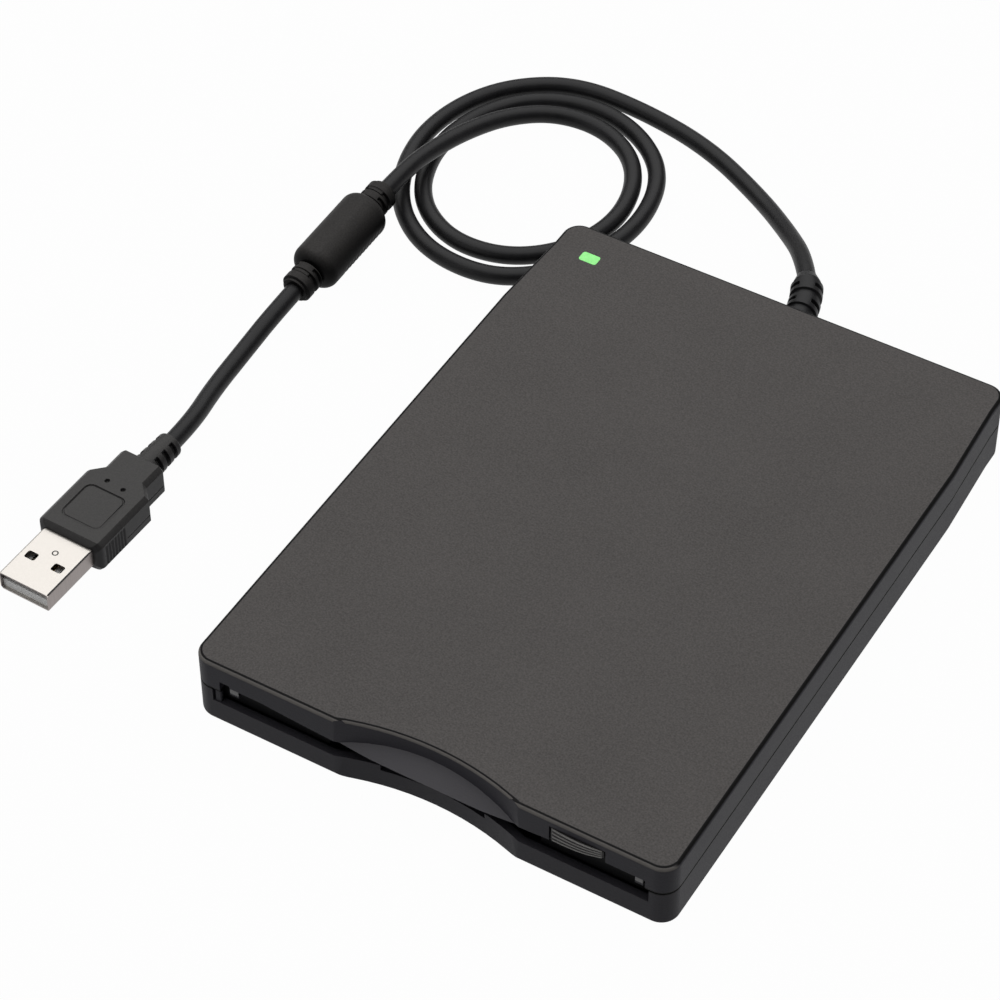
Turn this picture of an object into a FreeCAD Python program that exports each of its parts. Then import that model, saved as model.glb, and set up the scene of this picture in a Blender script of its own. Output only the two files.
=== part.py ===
"""External 3.5 in floppy disk drive with its cord, ferrite bead and plug.

Millimetres.  X runs across the drive, Y from the slot (front) to the cord (rear), Z up.  The origin is on
the table under the middle of the housing.  Every size is a cell of the sheet "Sizes"; the features are
bound to those cells by expressions.
"""

import FreeCAD, Part
import math
import os
import re
import Sketcher

V = FreeCAD.Vector

SIZES = {
    # the disk that the drive takes
    "disk_width": "90",
    "disk_length": "94",
    "disk_thick": "3.3",
    "disk_hub_depth": "46",
    "outer_track_radius": "39.5",
    "track_band": "14.8",
    "disk_drop": "2.2",
    "disk_proud": "0.5",
    # the housing shells
    "side_wall": "1.6",
    "base_wall": "1.4",
    "roof_wall": "1.6",
    "foot_rise": "0.8",
    "corner_radius": "3.8",
    "edge_radius": "1.0",
    "taper_depth": "1.0",
    "taper_start": "27",
    "taper_end": "7.5",
    "seam_gap": "0.3",
    "seam_depth": "0.4",
    "seam_drop": "0.3",
    # how far joined solids reach into each other, and cutters past what they cut
    "merge": "0.2",
    "over": "1",
    # room round the drive inside the housing
    "boss_rise": "0.2",
    "front_room": "0.9",
    "rear_room": "11.9",
    "side_room": "1.9",
    "roof_room": "0.6",
    # finger recess and slot
    "recess_half": "20",
    "recess_depth": "3.5",
    "ramp_rise": "3.0",
    "ramp_run": "3.4",
    "ramp_lip": "0.2",
    "ramp_skin": "2.1",
    "backing_reach": "8",
    "slot_gap": "0.15",
    "slot_side_gap": "2.0",
    "notch_half": "11.3",
    "notch_depth": "1.4",
    "lip_rise": "1.9",
    "lip_arc_half": "36",
    "lug_thick": "1.2",
    "lug_drop": "1.7",
    "lug_back": "0.1",
    "left_lug_inset": "4",
    "left_lug_width": "2",
    "right_lug_inset": "1.2",
    "right_lug_width": "1.7",
    "lip_notch_width": "2.2",
    "lip_notch_rise": "0.6",
    "mouth_inset": "0.8",
    "post_width": "1.5",
    "post_gap": "0.25",
    # dust door
    "door_thick": "0.8",
    "door_gap": "0.3",
    "door_left_inner": "22.0",
    "door_right_inner": "23.6",
    "door_spring_room": "1.4",
    "door_spring_gap": "0.1",
    "barrel_radius": "0.65",
    "barrel_rise": "0.7",
    "barrel_back": "0.1",
    "door_pin_radius": "0.4",
    "door_pin_reach": "1.2",
    "ear_width": "1.0",
    "ear_side_gap": "0.3",
    "ear_half_depth": "0.75",
    "pin_clearance": "0.05",
    # eject button
    "button_inset": "14.85",
    "button_width": "11.1",
    "button_side_gap": "0.3",
    "button_cap": "0.55",
    "button_roof": "0.25",
    "button_out": "0.9",
    "button_thick": "1.7",
    "button_bow_radius": "32",
    "rib_pitch": "0.5",
    "rib_depth": "0.15",
    "rib_gap": "0.2",
    "rib_inset": "0.4",
    "rib_count": "4",
    "button_lift": "0.3",
    # status lens and light pipe
    "lens_side": "10.1",
    "lens_back": "8.8",
    "lens_width": "4.1",
    "lens_depth": "2.7",
    "lens_corner": "0.6",
    "lens_clearance": "0.05",
    "lens_flange": "0.5",
    "lens_flange_thick": "0.6",
    "pipe_half": "0.8",
    "lamp_half": "0.8",
    "lamp_height": "0.9",
    "lamp_gap": "0.3",
    # feet and screws
    "foot_radius": "4.5",
    "foot_clearance": "0.2",
    "foot_sink": "0.5",
    "foot_side": "9.5",
    "foot_end": "13",
    "boss_radius": "2.5",
    "boss_inset": "2.5",
    "boss_back": "4.0",
    "boss_web_half": "1.0",
    "wall_merge": "0.6",
    "shank_radius": "1.2",
    "shank_clearance": "0.05",
    "screw_head_radius": "2.2",
    "screw_head_thick": "1.0",
    "screw_sink_radius": "2.35",
    "screw_sink": "1.6",
    "screw_reach": "4.2",
    "screw_end_gap": "0.4",
    "drive_boss_radius": "3.5",
    "drive_boss_side": "12",
    "drive_boss_front": "15",
    "drive_boss_rear": "4.5",
    "drive_screw_radius": "1.0",
    "drive_screw_reach": "1.2",
    "tab_front": "11",
    "tab_length": "6",
    "tab_thick": "1.2",
    "tab_drop": "2.4",
    "tab_gap": "0.1",
    "tab_root_gap": "0.3",
    # sheet-metal drive frame
    "sheet": "0.5",
    "chassis_length": "122.5",
    "chassis_side": "0.65",
    "wall_above_slide": "1.8",
    "flange_width": "4.4",
    "flange_length": "6",
    "flange_front": "12",
    "flange_rear": "7.5",
    "flange_thick": "0.6",
    "hook_back": "1.2",
    "hook_half": "0.7",
    "hook_drop": "0.6",
    "top_plate_back": "10",
    "top_screw_radius": "0.85",
    "top_screw_head": "1.6",
    "top_screw_head_thick": "0.4",
    "top_screw_reach": "0.9",
    "standoff_radius": "1.6",
    "standoff_inset": "2.5",
    # disk holder
    "holder_sheet": "0.6",
    "holder_side": "0.5",
    "holder_room": "0.45",
    "holder_side_gap": "1.0",
    "holder_front": "3.0",
    "holder_back_gap": "0.5",
    "holder_lip": "3.5",
    "disk_low": "1.55",
    "head_opening_half": "12",
    "head_opening_start": "17.5",
    "pin_radius": "0.6",
    "pin_slot_gap": "0.2",
    "pin_front": "14",
    "pin_rear": "17",
    "pin_height": "2.55",
    "pin_end_gap": "0.1",
    # slide plate
    "slide_travel": "3.6",
    "slide_side": "0.35",
    "slide_gap": "0.25",
    "slide_rise": "1.0",
    "slide_front": "3.5",
    "slide_window_half": "25",
    "slide_window_margin": "7",
    "wing_drop": "6.4",
    "wing_margin": "3.2",
    "tongue_rise": "1.2",
    "tongue_width": "6",
    "tongue_sink": "0.7",
    "tongue_fit": "0.05",
    "spring_radius": "1.2",
    "spring_inset": "2.85",
    "spring_gap": "0.3",
    "spring_drop": "0.3",
    # latch lever
    "latch_inset": "15",
    "latch_back": "5.5",
    "latch_radius": "3.0",
    "latch_bar": "10",
    "latch_bar_half": "1.5",
    "latch_angle": "-40",
    "latch_thick": "0.8",
    "latch_rise": "0.25",
    "latch_gap": "0.1",
    "latch_pin_radius": "1.2",
    "latch_collar_radius": "2.2",
    "latch_cap_thick": "0.4",
    "switch_inset": "6.3",
    "switch_half": "2",
    "switch_back": "2",
    "switch_length": "6",
    "switch_height": "1.0",
    "plunger_radius": "0.8",
    "plunger_gap": "0.15",
    # spindle motor
    "board_thick": "0.5",
    "board_fit": "0.1",
    "stator_half": "27",
    "stator_front": "26.5",
    "stator_back": "22.5",
    "coil_count": "9",
    "coil_circle": "14",
    "coil_radius": "2.3",
    "coil_core": "0.9",
    "coil_height": "0.6",
    "bearing_radius": "4",
    "bearing_height": "0.7",
    "shaft_radius": "1.5",
    "shaft_gap": "0.1",
    "rotor_radius": "21.5",
    "rotor_skirt": "1.0",
    "rotor_plate": "0.35",
    "rotor_gap": "0.3",
    "rotor_hang": "0.6",
    "magnet_width": "2.05",
    "magnet_fit": "0.05",
    "hub_radius": "11",
    "hub_height": "1.45",
    "centre_pin_radius": "1.95",
    "centre_pin_height": "0.4",
    "drive_pin_radius": "1.0",
    "drive_pin_height": "0.35",
    "drive_pin_offset": "6.5",
    # head carriage
    "rod_radius": "1.0",
    "rod_x": "12",
    "rod_rise": "2.0",
    "rod_fit": "0.02",
    "rod_end": "0.4",
    "clamp_half": "2.2",
    "clamp_length": "1.6",
    "clamp_top": "1.7",
    "clamp_front_gap": "0.7",
    "clamp_rear_gap": "1.0",
    "carriage_gap": "0.6",
    "carriage_length": "8",
    "carriage_half": "14.4",
    "carriage_lift": "0.4",
    "carriage_top": "1.6",
    "arm_half": "4",
    "arm_lift": "0.3",
    "arm_thick": "0.9",
    "head_half": "1.8",
    "head_length": "3.0",
    "head_height": "1.9",
    "post_half": "4.6",
    "post_length": "3.0",
    "post_back": "2.2",
    "post_rise": "0.8",
    "ear_thick": "1.6",
    "ear_length": "2",
    "hinge_rise": "4.0",
    "hinge_radius": "0.5",
    "upper_gap": "0.3",
    "upper_ear": "0.8",
    "upper_ear_half": "1.2",
    "upper_ear_drop": "0.9",
    "upper_rise": "1.4",
    "upper_thick": "0.8",
    "upper_head_gap": "0.4",
    # lead screw and stepper motor
    "lead_x": "20",
    "lead_rise": "3.6",
    "lead_radius": "1.5",
    "lead_fit": "0.05",
    "lead_end_gap": "0.05",
    "follower_gap": "0.15",
    "follower_back": "0.2",
    "follower_half_height": "0.5",
    "follower_length": "1.5",
    "motor_radius": "4.8",
    "motor_length": "8.3",
    "bracket_thick": "0.6",
    "bracket_half": "4.8",
    "bracket_gap": "0.5",
    "bracket_front_half": "3.8",
    "bracket_low": "0.1",
    "bracket_over": "1.0",
    "terminal_half": "3",
    "terminal_back": "2",
    "terminal_length": "4",
    "terminal_rise": "0.5",
    # circuit boards
    "control_left": "0.85",
    "control_gap": "3.1",
    "control_length": "19",
    "control_rise": "1.0",
    "control_back": "0.9",
    "pcb_thick": "0.8",
    "usb_front_gap": "0.8",
    "usb_length": "8.9",
    "usb_side": "7.1",
    "usb_right": "22",
    "usb_rise": "2.8",
    "usb_post_radius": "1.8",
    "usb_post_side": "8",
    "flex_thick": "0.2",
    "flex_width": "14",
    "flex_side": "16.35",
    "flex_rise": "0.5",
    "socket_height": "1.4",
    "socket_length": "2.0",
    "socket_side": "1",
    "socket_back": "0.6",
    "crystal_side": "18.4",
    "crystal_back": "6",
    "crystal_width": "1.6",
    "crystal_length": "2.4",
    "crystal_height": "2.2",
    "cord_socket_half": "4.0",
    "cord_socket_length": "4.5",
    "cord_socket_height": "2.8",
    "cord_socket_back": "1.5",
    "wire_radius": "0.5",
    "wire_pitch": "1.4",
    "wire_count": "4",
    # cord boot
    "cord_radius": "2.0",
    "boot_x": "1.6",
    "boot_bend": "30",
    "boot_core_radius": "3.0",
    "boot_ring_radius": "3.5",
    "boot_flange_radius": "4.6",
    "boot_flange_thick": "1.75",
    "flange_gap": "0.05",
    "boot_hole_gap": "0.05",
    "boot_ring_angle": "6.5",
    "boot_groove_angle": "2.7",
    "boot_ring_start": "1.0",
    "boot_ring_count": "3",
    "boot_core_angle": "28",
    "boot_tip_length": "2.2",
    "boot_tip_radius": "2.15",
    "boot_slot_angle": "1.8",
    "boot_slot_half": "3.0",
    "boot_slot_depth": "0.5",
    # ferrite bead
    "bead_radius": "5.5",
    "bead_length": "22",
    "bead_round": "2.5",
    "bead_bore_gap": "0.1",
    "bead_collar_radius": "3.5",
    "bead_collar_length": "5.8",
    "bead_collar_step": "0.6",
    "bead_ring_gap": "0.3",
    "core_radius": "4.4",
    "core_length": "17",
    "core_fit": "0.05",
    # plug
    "plug_turn": "-2",
    "plug_front_x": "-95.3",
    "plug_front_y": "-50.6",
    "grip_width": "15.5",
    "grip_height": "7.6",
    "grip_length": "16.5",
    "shoulder_length": "2.6",
    "neck_width": "10.4",
    "neck_end": "25.0",
    "grip_round": "0.8",
    "relief_length": "9.1",
    "relief_radius": "3.2",
    "relief_tip_radius": "2.8",
    "relief_ring": "1.4",
    "relief_ring_count": "4",
    "relief_step": "0.5",
    "groove_width": "9.3",
    "groove_length": "9.6",
    "groove_start": "3.8",
    "groove_line": "0.4",
    "groove_sink": "0.25",
    "shell_width": "12.0",
    "shell_height": "4.5",
    "shell_length": "14.3",
    "shell_wall": "0.3",
    "latch_hole_width": "2.5",
    "latch_hole_length": "2.0",
    "latch_hole_x": "3.25",
    "latch_hole_back": "6.4",
    "tongue_thick": "1.9",
    "tongue_back": "0.7",
    "contact_width": "1.0",
    "contact_thick": "0.15",
    "contact_length": "8.0",
    "contact_back": "1",
    "contact_inner": "1.0",
    "contact_outer": "3.5",
}

# places worked out from the sizes above
PLACES = {
    "base_in": "foot_rise + base_wall",
    "chassis_z": "base_in + boss_rise",
    "floor_z": "chassis_z + sheet",
    "disk_z": "floor_z + disk_low + disk_drop",
    "disk_top": "disk_z + disk_thick",
    "rim_z": "disk_z - slot_gap",
    "notch_z": "rim_z - notch_depth",
    "lip_z": "disk_top + slot_gap",
    "lip_side_z": "lip_z + lip_rise",
    "lip_radius": "(lip_arc_half^2 + lip_rise^2) / (2 * lip_rise)",
    "seam_z": "lip_z - seam_drop",
    "holder_z": "disk_top + holder_room",
    "holder_top": "holder_z + holder_sheet",
    "holder_base": "rim_z - holder_side",
    "slide_z": "holder_top + slide_rise",
    "slide_top": "slide_z + sheet",
    "tongue_z": "slide_top + tongue_rise",
    "frame_top": "slide_top + wall_above_slide",
    "plate_top": "frame_top + sheet",
    "roof_in": "plate_top + roof_room",
    "case_top": "roof_in + roof_wall",
    "holder_in": "disk_width / 2 + holder_side_gap",
    "holder_out": "holder_in + holder_side",
    "slide_in": "holder_out + slide_gap",
    "slide_out": "slide_in + slide_side",
    "frame_in": "slide_out + slide_gap",
    "frame_out": "frame_in + chassis_side",
    "case_in": "frame_out + side_room",
    "case_half": "case_in + side_wall",
    "slot_half": "disk_width / 2 + slot_side_gap",
    "case_length": "recess_depth + side_wall + front_room + chassis_length + rear_room + side_wall",
    "front_y": "-case_length / 2",
    "rear_y": "case_length / 2",
    "front_in": "front_y + side_wall",
    "rear_in": "rear_y - side_wall",
    "recess_y": "front_y + recess_depth",
    "recess_back": "recess_y + side_wall",
    "recess_radius": "(recess_half^2 + recess_depth^2) / (2 * recess_depth)",
    "ramp_z": "lip_z + ramp_lip",
    "ramp_slope": "ramp_rise / ramp_run",
    "frame_front": "recess_back + front_room",
    "frame_rear": "frame_front + chassis_length",
    "hook_y": "frame_rear - flange_rear - hook_back",
    "disk_rear": "frame_front - disk_proud + disk_length",
    "spindle_y": "disk_rear - disk_hub_depth",
    "head_y": "spindle_y + outer_track_radius",
    "hinge_y": "front_in + door_gap + door_thick / 2 + barrel_back",
    "hinge_z": "lip_side_z + barrel_rise",
    "button_z": "tongue_z + sheet + button_cap",
    "window_top": "button_z + button_roof",
    "lens_x": "lens_side - case_half",
    "lens_y": "rear_y - lens_back",
    "button_centre": "slot_half - button_inset",
    "drive_boss_x": "frame_out - drive_boss_side",
    "spring_x": "frame_in - spring_inset",
    "boss_x": "case_in - taper_depth - boss_inset",
    "boss_y": "rear_in - boss_back",
    "holder_y": "frame_front + holder_front",
    "holder_rear": "disk_rear + holder_back_gap",
    "slide_y": "holder_y + slide_front",
    "pin_front_y": "holder_y + pin_front",
    "pin_rear_y": "holder_rear - pin_rear",
    "pin_z": "disk_z + pin_height",
    "opening_y": "spindle_y + head_opening_start",
    "latch_x": "latch_inset - disk_width / 2",
    "latch_y": "disk_rear + latch_back",
    "latch_z": "disk_z + latch_rise",
    "rotor_z": "floor_z + coil_height + rotor_gap",
    "rotor_top": "rotor_z + rotor_plate",
    "hub_top": "rotor_top + hub_height",
    "rod_z": "floor_z + rod_rise",
    "clamp_y": "disk_rear + clamp_front_gap",
    "clamp_rear": "frame_rear - clamp_rear_gap",
    "carriage_y": "clamp_y + clamp_length + carriage_gap + track_band",
    "carriage_end": "carriage_y + carriage_length",
    "carriage_roof": "rod_z + carriage_top",
    "arm_z": "floor_z + arm_lift",
    "arm_top": "arm_z + arm_thick",
    "pivot_y": "carriage_end - post_back - post_length / 2",
    "pivot_z": "carriage_roof + hinge_rise",
    "upper_z": "pivot_z + upper_rise",
    "lead_z": "rod_z + lead_rise",
    "bracket_y": "carriage_y + bracket_thick / 2 + follower_length + bracket_gap",
    "bracket_end": "bracket_y + bracket_thick",
    "screw_y": "clamp_y + bracket_thick",
    "control_z": "floor_z + control_rise",
    "control_end": "frame_rear - control_back",
    "control_top": "control_z + pcb_thick",
    "control_width": "frame_in - control_left - carriage_half - control_gap",
    "usb_y": "frame_rear + usb_front_gap",
    "usb_z": "base_in + usb_rise",
    "usb_top": "usb_z + pcb_thick",
    "usb_left": "case_in - usb_side",
    "flex_x": "flex_side - frame_in",
    "flex_z": "usb_top + flex_rise",
    "flange_y": "rear_in - flange_gap - boot_flange_thick",
}

doc = FreeCAD.newDocument("floppy_drive")
sheet = doc.addObject("Spreadsheet::Sheet", "Sizes")
for row, (alias, content) in enumerate(list(SIZES.items()) + list(PLACES.items()), 1):
    sheet.set(f"A{row}", alias)
    sheet.set(f"B{row}", content if alias in SIZES else "=" + content)
    sheet.setAlias(f"B{row}", alias)
doc.recompute()

ALIASES = set(SIZES) | set(PLACES)
NODES = {}
TURNS = {
    "x": FreeCAD.Rotation(V(0, 1, 0), 90),
    "y": FreeCAD.Rotation(V(1, 0, 0), -90),
    "z": FreeCAD.Rotation(),
}
OTHER_AXES = {"x": ("y", "z"), "y": ("x", "z"), "z": ("x", "y")}


def size(alias):
    """The number that a cell holds."""
    return float(sheet.get(alias))


def expression(text):
    """An expression on the sheet's cells, from one that names them without their sheet."""

    def cell(word):
        return "Sizes." + word.group() if word.group() in ALIASES else word.group()

    return re.sub(r"[a-z_]+", cell, str(text))


def bind(thing, prop, text):
    thing.setExpression(prop, expression(text))


def span(low, high):
    return f"({high}) - ({low})"


def across(side, inner, outer):
    """The X span of a piece from inner to outer on the right, or of its mirror image on the left."""
    return (inner, outer) if side > 0 else (f"-({outer})", f"-({inner})")


def box(name, x, y, z):
    """A block between two corners, each axis given as (low, high)."""
    made = doc.addObject("Part::Box", name)
    for axis, prop, (low, high) in (("x", "Length", x), ("y", "Width", y), ("z", "Height", z)):
        bind(made, f"Placement.Base.{axis}", low)
        bind(made, prop, span(low, high))
    return made


def stand(made, axis, centre, start):
    """Put a round primitive on its axis: centre gives the two other coordinates."""
    made.Placement = FreeCAD.Placement(V(), TURNS[axis])
    bind(made, f"Placement.Base.{axis}", start)
    for other, text in zip(OTHER_AXES[axis], centre):
        bind(made, f"Placement.Base.{other}", text)


def cylinder(name, axis, centre, radius, ends):
    made = doc.addObject("Part::Cylinder", name)
    stand(made, axis, centre, ends[0])
    bind(made, "Radius", radius)
    bind(made, "Height", span(*ends))
    return made


def cone(name, axis, centre, radii, ends):
    made = doc.addObject("Part::Cone", name)
    stand(made, axis, centre, ends[0])
    bind(made, "Radius1", radii[0])
    bind(made, "Radius2", radii[1])
    bind(made, "Height", span(*ends))
    return made


def fuse(name, *pieces):
    if len(pieces) == 1:
        return pieces[0]
    made = doc.addObject("Part::MultiFuse", name)
    made.Shapes = list(pieces)
    return made


def cut(name, base, *tools):
    made = doc.addObject("Part::Cut", name)
    made.Base = base
    made.Tool = fuse(name + "_tools", *tools)
    return made


def common(name, first, second):
    made = doc.addObject("Part::Common", name)
    made.Base = first
    made.Tool = second
    return made


def group(name, pieces):
    """Separate solids that are one sub-part, such as a set of screws."""
    made = doc.addObject("Part::Compound", name)
    made.Links = list(pieces)
    return made


def tube(name, axis, centre, outer, inner, ends):
    return cut(
        name,
        cylinder(name + "_outside", axis, centre, outer, ends),
        cylinder(name + "_bore", axis, centre, inner, ends),
    )


def outline(name, plane, points, ends):
    """A body: the polygon through points on a plane, padded from ends[0] to ends[1] across it."""
    body = doc.addObject("PartDesign::Body", name)
    sketch = body.newObject("Sketcher::SketchObject", name + "_sketch")
    origin = next(f for f in body.Origin.OriginFeatures if f.Role == plane + "_Plane")
    sketch.AttachmentSupport = [(origin, "")]
    sketch.MapMode = "FlatFace"
    count = len(points)
    ring = [V(math.cos(2 * math.pi * i / count), math.sin(2 * math.pi * i / count), 0) for i in range(count)]
    for i in range(count):
        sketch.addGeometry(Part.LineSegment(ring[i], ring[(i + 1) % count]), False)
    for i in range(count):
        sketch.addConstraint(Sketcher.Constraint("Coincident", i, 2, (i + 1) % count, 1))
    for i, corner in enumerate(points):
        for kind, at, text in zip(("DistanceX", "DistanceY"), ring[i], corner):
            number = sketch.addConstraint(Sketcher.Constraint(kind, -1, 1, i, 1, at))
            bind(sketch, f"Constraints[{number}]", text)
    pad = body.newObject("PartDesign::Pad", name + "_pad")
    pad.Profile = sketch
    bind(pad, "Length", span(*ends))
    axis = {"XY": "z", "YZ": "x"}[plane]
    bind(body, f"Placement.Base.{axis}", ends[0])
    doc.recompute()
    return body


def fillet(body, radius, wanted):
    """Round the edges of a body's tip for which wanted(edge, box of the tip) is true."""
    tip = body.Tip
    bounds = tip.Shape.BoundBox
    names = [f"Edge{i}" for i, edge in enumerate(tip.Shape.Edges, 1) if wanted(edge, bounds)]
    made = body.newObject("PartDesign::Fillet", body.Name + "_fillet")
    made.Base = (tip, names)
    bind(made, "Radius", radius)
    doc.recompute()
    return body


def is_upright(edge):
    return all(abs(v.X - edge.Vertexes[0].X) + abs(v.Y - edge.Vertexes[0].Y) < 1e-6 for v in edge.Vertexes)


def is_upright_corner(edge, bounds):
    """Upright edges at the two ends along Y."""
    at = edge.Vertexes[0].Y
    return is_upright(edge) and min(abs(at - bounds.YMin), abs(at - bounds.YMax)) < 1e-6


def is_upright_edge(edge, bounds):
    return is_upright(edge)


def is_top_edge(edge, bounds):
    return all(abs(v.Z - bounds.ZMax) < 1e-6 for v in edge.Vertexes) and not is_upright(edge)


def is_bottom_edge(edge, bounds):
    return all(abs(v.Z - bounds.ZMin) < 1e-6 for v in edge.Vertexes) and not is_upright(edge)


def node(name, made):
    made.Label = name
    NODES[name] = made
    return made


# ---------------------------------------------------------------- housing


def plan(name, inset, ends):
    """The housing's rounded plan, set in from its outside, between two heights."""
    wide = f"case_half - ({inset})"
    narrow = f"case_half - taper_depth - ({inset})"
    front = f"front_y + ({inset})"
    rear = f"rear_y - ({inset})"
    start = "rear_y - taper_start"
    end = "rear_y - taper_end"
    right = [(wide, front), (wide, start), (narrow, end), (narrow, rear)]
    left = [(f"-({x})", y) for x, y in reversed(right)]
    body = outline(name, "XY", right + left, ends)
    return fillet(body, f"corner_radius - ({inset})", is_upright_corner)


def recess_cylinder(name, extra, ends):
    """The finger recess, or the wall behind it when extra is the wall's thickness."""
    return cylinder(name, "z", ("0", "recess_y - recess_radius"), f"recess_radius + {extra}", ends)


def boot_hole(name):
    ends = ("rear_in - over", "rear_y + over")
    return cylinder(name, "y", ("boot_x", "seam_z"), "boot_core_radius + boot_hole_gap", ends)


def seam(name):
    """The shadow line round the housing where its two shells meet."""
    ends = ("seam_z - seam_gap / 2", "seam_z + seam_gap / 2")
    return cut(name, plan(name + "_outside", "-seam_depth", ends), plan(name + "_inside", "seam_depth", ends))


def screw_places():
    return [(f"{side} * boss_x", "boss_y") for side in (-1, 1)]


def drive_screw_places():
    rows = ("frame_front + drive_boss_front", "disk_rear - drive_boss_rear")
    return [(f"{side} * drive_boss_x", y) for side in (-1, 1) for y in rows]


def boss_web(name, place, z):
    """The rib that joins a screw boss to the side wall."""
    side = -1 if place[0].startswith("-") else 1
    x = across(side, "boss_x", "boss_x + boss_radius + wall_merge")
    return box(name, x, (f"{place[1]} - boss_web_half", f"{place[1]} + boss_web_half"), z)


def foot_places():
    xs = ("case_half - foot_side", "foot_side - case_half")
    ys = ("front_y + foot_end", "rear_y - foot_end")
    return [(x, y) for x in xs for y in ys]


def usb_post_places():
    return [(x, "usb_y + usb_length / 2") for x in ("-usb_left / 2", "usb_right - usb_post_side")]


def bottom_cover():
    outside = plan("base_outside", "0", ("foot_rise", "seam_z"))
    fillet(outside, "edge_radius", is_bottom_edge)
    inside = plan("base_inside", "side_wall", ("base_in", "seam_z + over"))
    backing = common(
        "base_backing",
        recess_cylinder("base_backing_round", "side_wall", ("foot_rise + base_wall / 2", "seam_z")),
        box("base_backing_room", ("-recess_half - backing_reach", "recess_half + backing_reach"),
            ("front_y + side_wall / 2", "frame_front"), ("foot_rise", "seam_z")),
    )
    added = [backing]
    removed = [recess_cylinder("base_recess", "0", ("0", "seam_z + over")), boot_hole("base_boot_hole"),
               seam("base_seam")]
    depth = ("front_y - over", "frame_front - front_room / 2")
    removed.append(box("slot_rim", ("-slot_half", "slot_half"), depth, ("rim_z", "seam_z + over")))
    removed.append(box("slot_notch", ("-notch_half", "notch_half"), depth, ("notch_z", "seam_z + over")))
    post = box("slot_post", ("post_gap - slot_half", "post_gap + post_width - slot_half"),
               ("front_y + post_gap", "front_y + lug_thick"), ("rim_z - merge", "seam_z - seam_gap / 2"))
    for place in screw_places():
        added.append(cylinder("base_boss", "z", place, "boss_radius", ("foot_rise + merge", "seam_z")))
        added.append(boss_web("base_boss_web", place, ("foot_rise + merge", "seam_z")))
        bore = "shank_radius + shank_clearance"
        removed.append(cylinder("base_boss_hole", "z", place, bore, ("0", "seam_z + over")))
        sink_z = ("0", "foot_rise + screw_sink")
        removed.append(cylinder("base_boss_sink", "z", place, "screw_sink_radius", sink_z))
    for place in drive_screw_places():
        boss_z = ("foot_rise + merge", "chassis_z")
        added.append(cylinder("drive_boss", "z", place, "drive_boss_radius", boss_z))
        bore = "drive_screw_radius + pin_clearance"
        depth_span = ("floor_z - sheet - drive_screw_reach", "floor_z")
        removed.append(cylinder("drive_boss_hole", "z", place, bore, depth_span))
    for place in usb_post_places():
        added.append(cylinder("usb_post", "z", place, "usb_post_radius", ("foot_rise + merge", "usb_z")))
    for place in foot_places():
        radius = "foot_radius + foot_clearance"
        removed.append(cylinder("foot_recess", "z", place, radius, ("0", "foot_rise + foot_sink")))
    shell = cut("base_shell", outside, inside)
    return fuse("base_with_post", cut("base_cover", fuse("base_whole", shell, *added), *removed), post)


def lens_hole(name, gap, ends):
    """The lamp window's rounded rectangle, or the lens that fills it when gap is zero."""
    half_x = f"(lens_width / 2 + {gap})"
    half_y = f"(lens_depth / 2 + {gap})"
    corners = [(f"lens_x {sx} {half_x}", f"lens_y {sy} {half_y}") for sx, sy in ("--", "+-", "++", "-+")]
    return fillet(outline(name, "XY", corners, ends), "lens_corner", is_upright_edge)


def ramp_wedge(name, drop, start, end, top):
    """Everything above the recess ramp lowered by drop, from start to end along Y, as a wide prism."""
    low = [(y, f"ramp_z - {drop} + ramp_slope * ({y} - front_y)") for y in (start, end)]
    points = [low[0], low[1], (end, top), (start, top)]
    return outline(name, "YZ", points, ("-recess_half - backing_reach", "recess_half + backing_reach"))


def slot_mouth(name, lift, x, y):
    """The space below the slot's curved upper lip, lifted by lift."""
    block = box(name + "_block", x, y, ("notch_z", f"lip_side_z + {lift}"))
    arc = cylinder(name + "_arc", "y", ("0", f"lip_z + {lift} + lip_radius"), "lip_radius", y)
    return cut(name, block, arc)


def door_ears():
    """Four ears under the roof that carry the dust door's pins."""
    ears = []
    y = ("hinge_y - ear_half_depth", "hinge_y + ear_half_depth")
    z = ("lip_side_z", "roof_in + merge")
    for side, inner in ((-1, "door_left_inner"), (1, "door_right_inner")):
        low = f"{inner} - ear_side_gap - ear_width"
        ears.append(box("inner_ear", across(side, low, f"{inner} - ear_side_gap"), y, z))
        high = "slot_half + ear_width"
        ears.append(box("outer_ear", across(side, "slot_half", high), y, z))
    return ears


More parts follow.
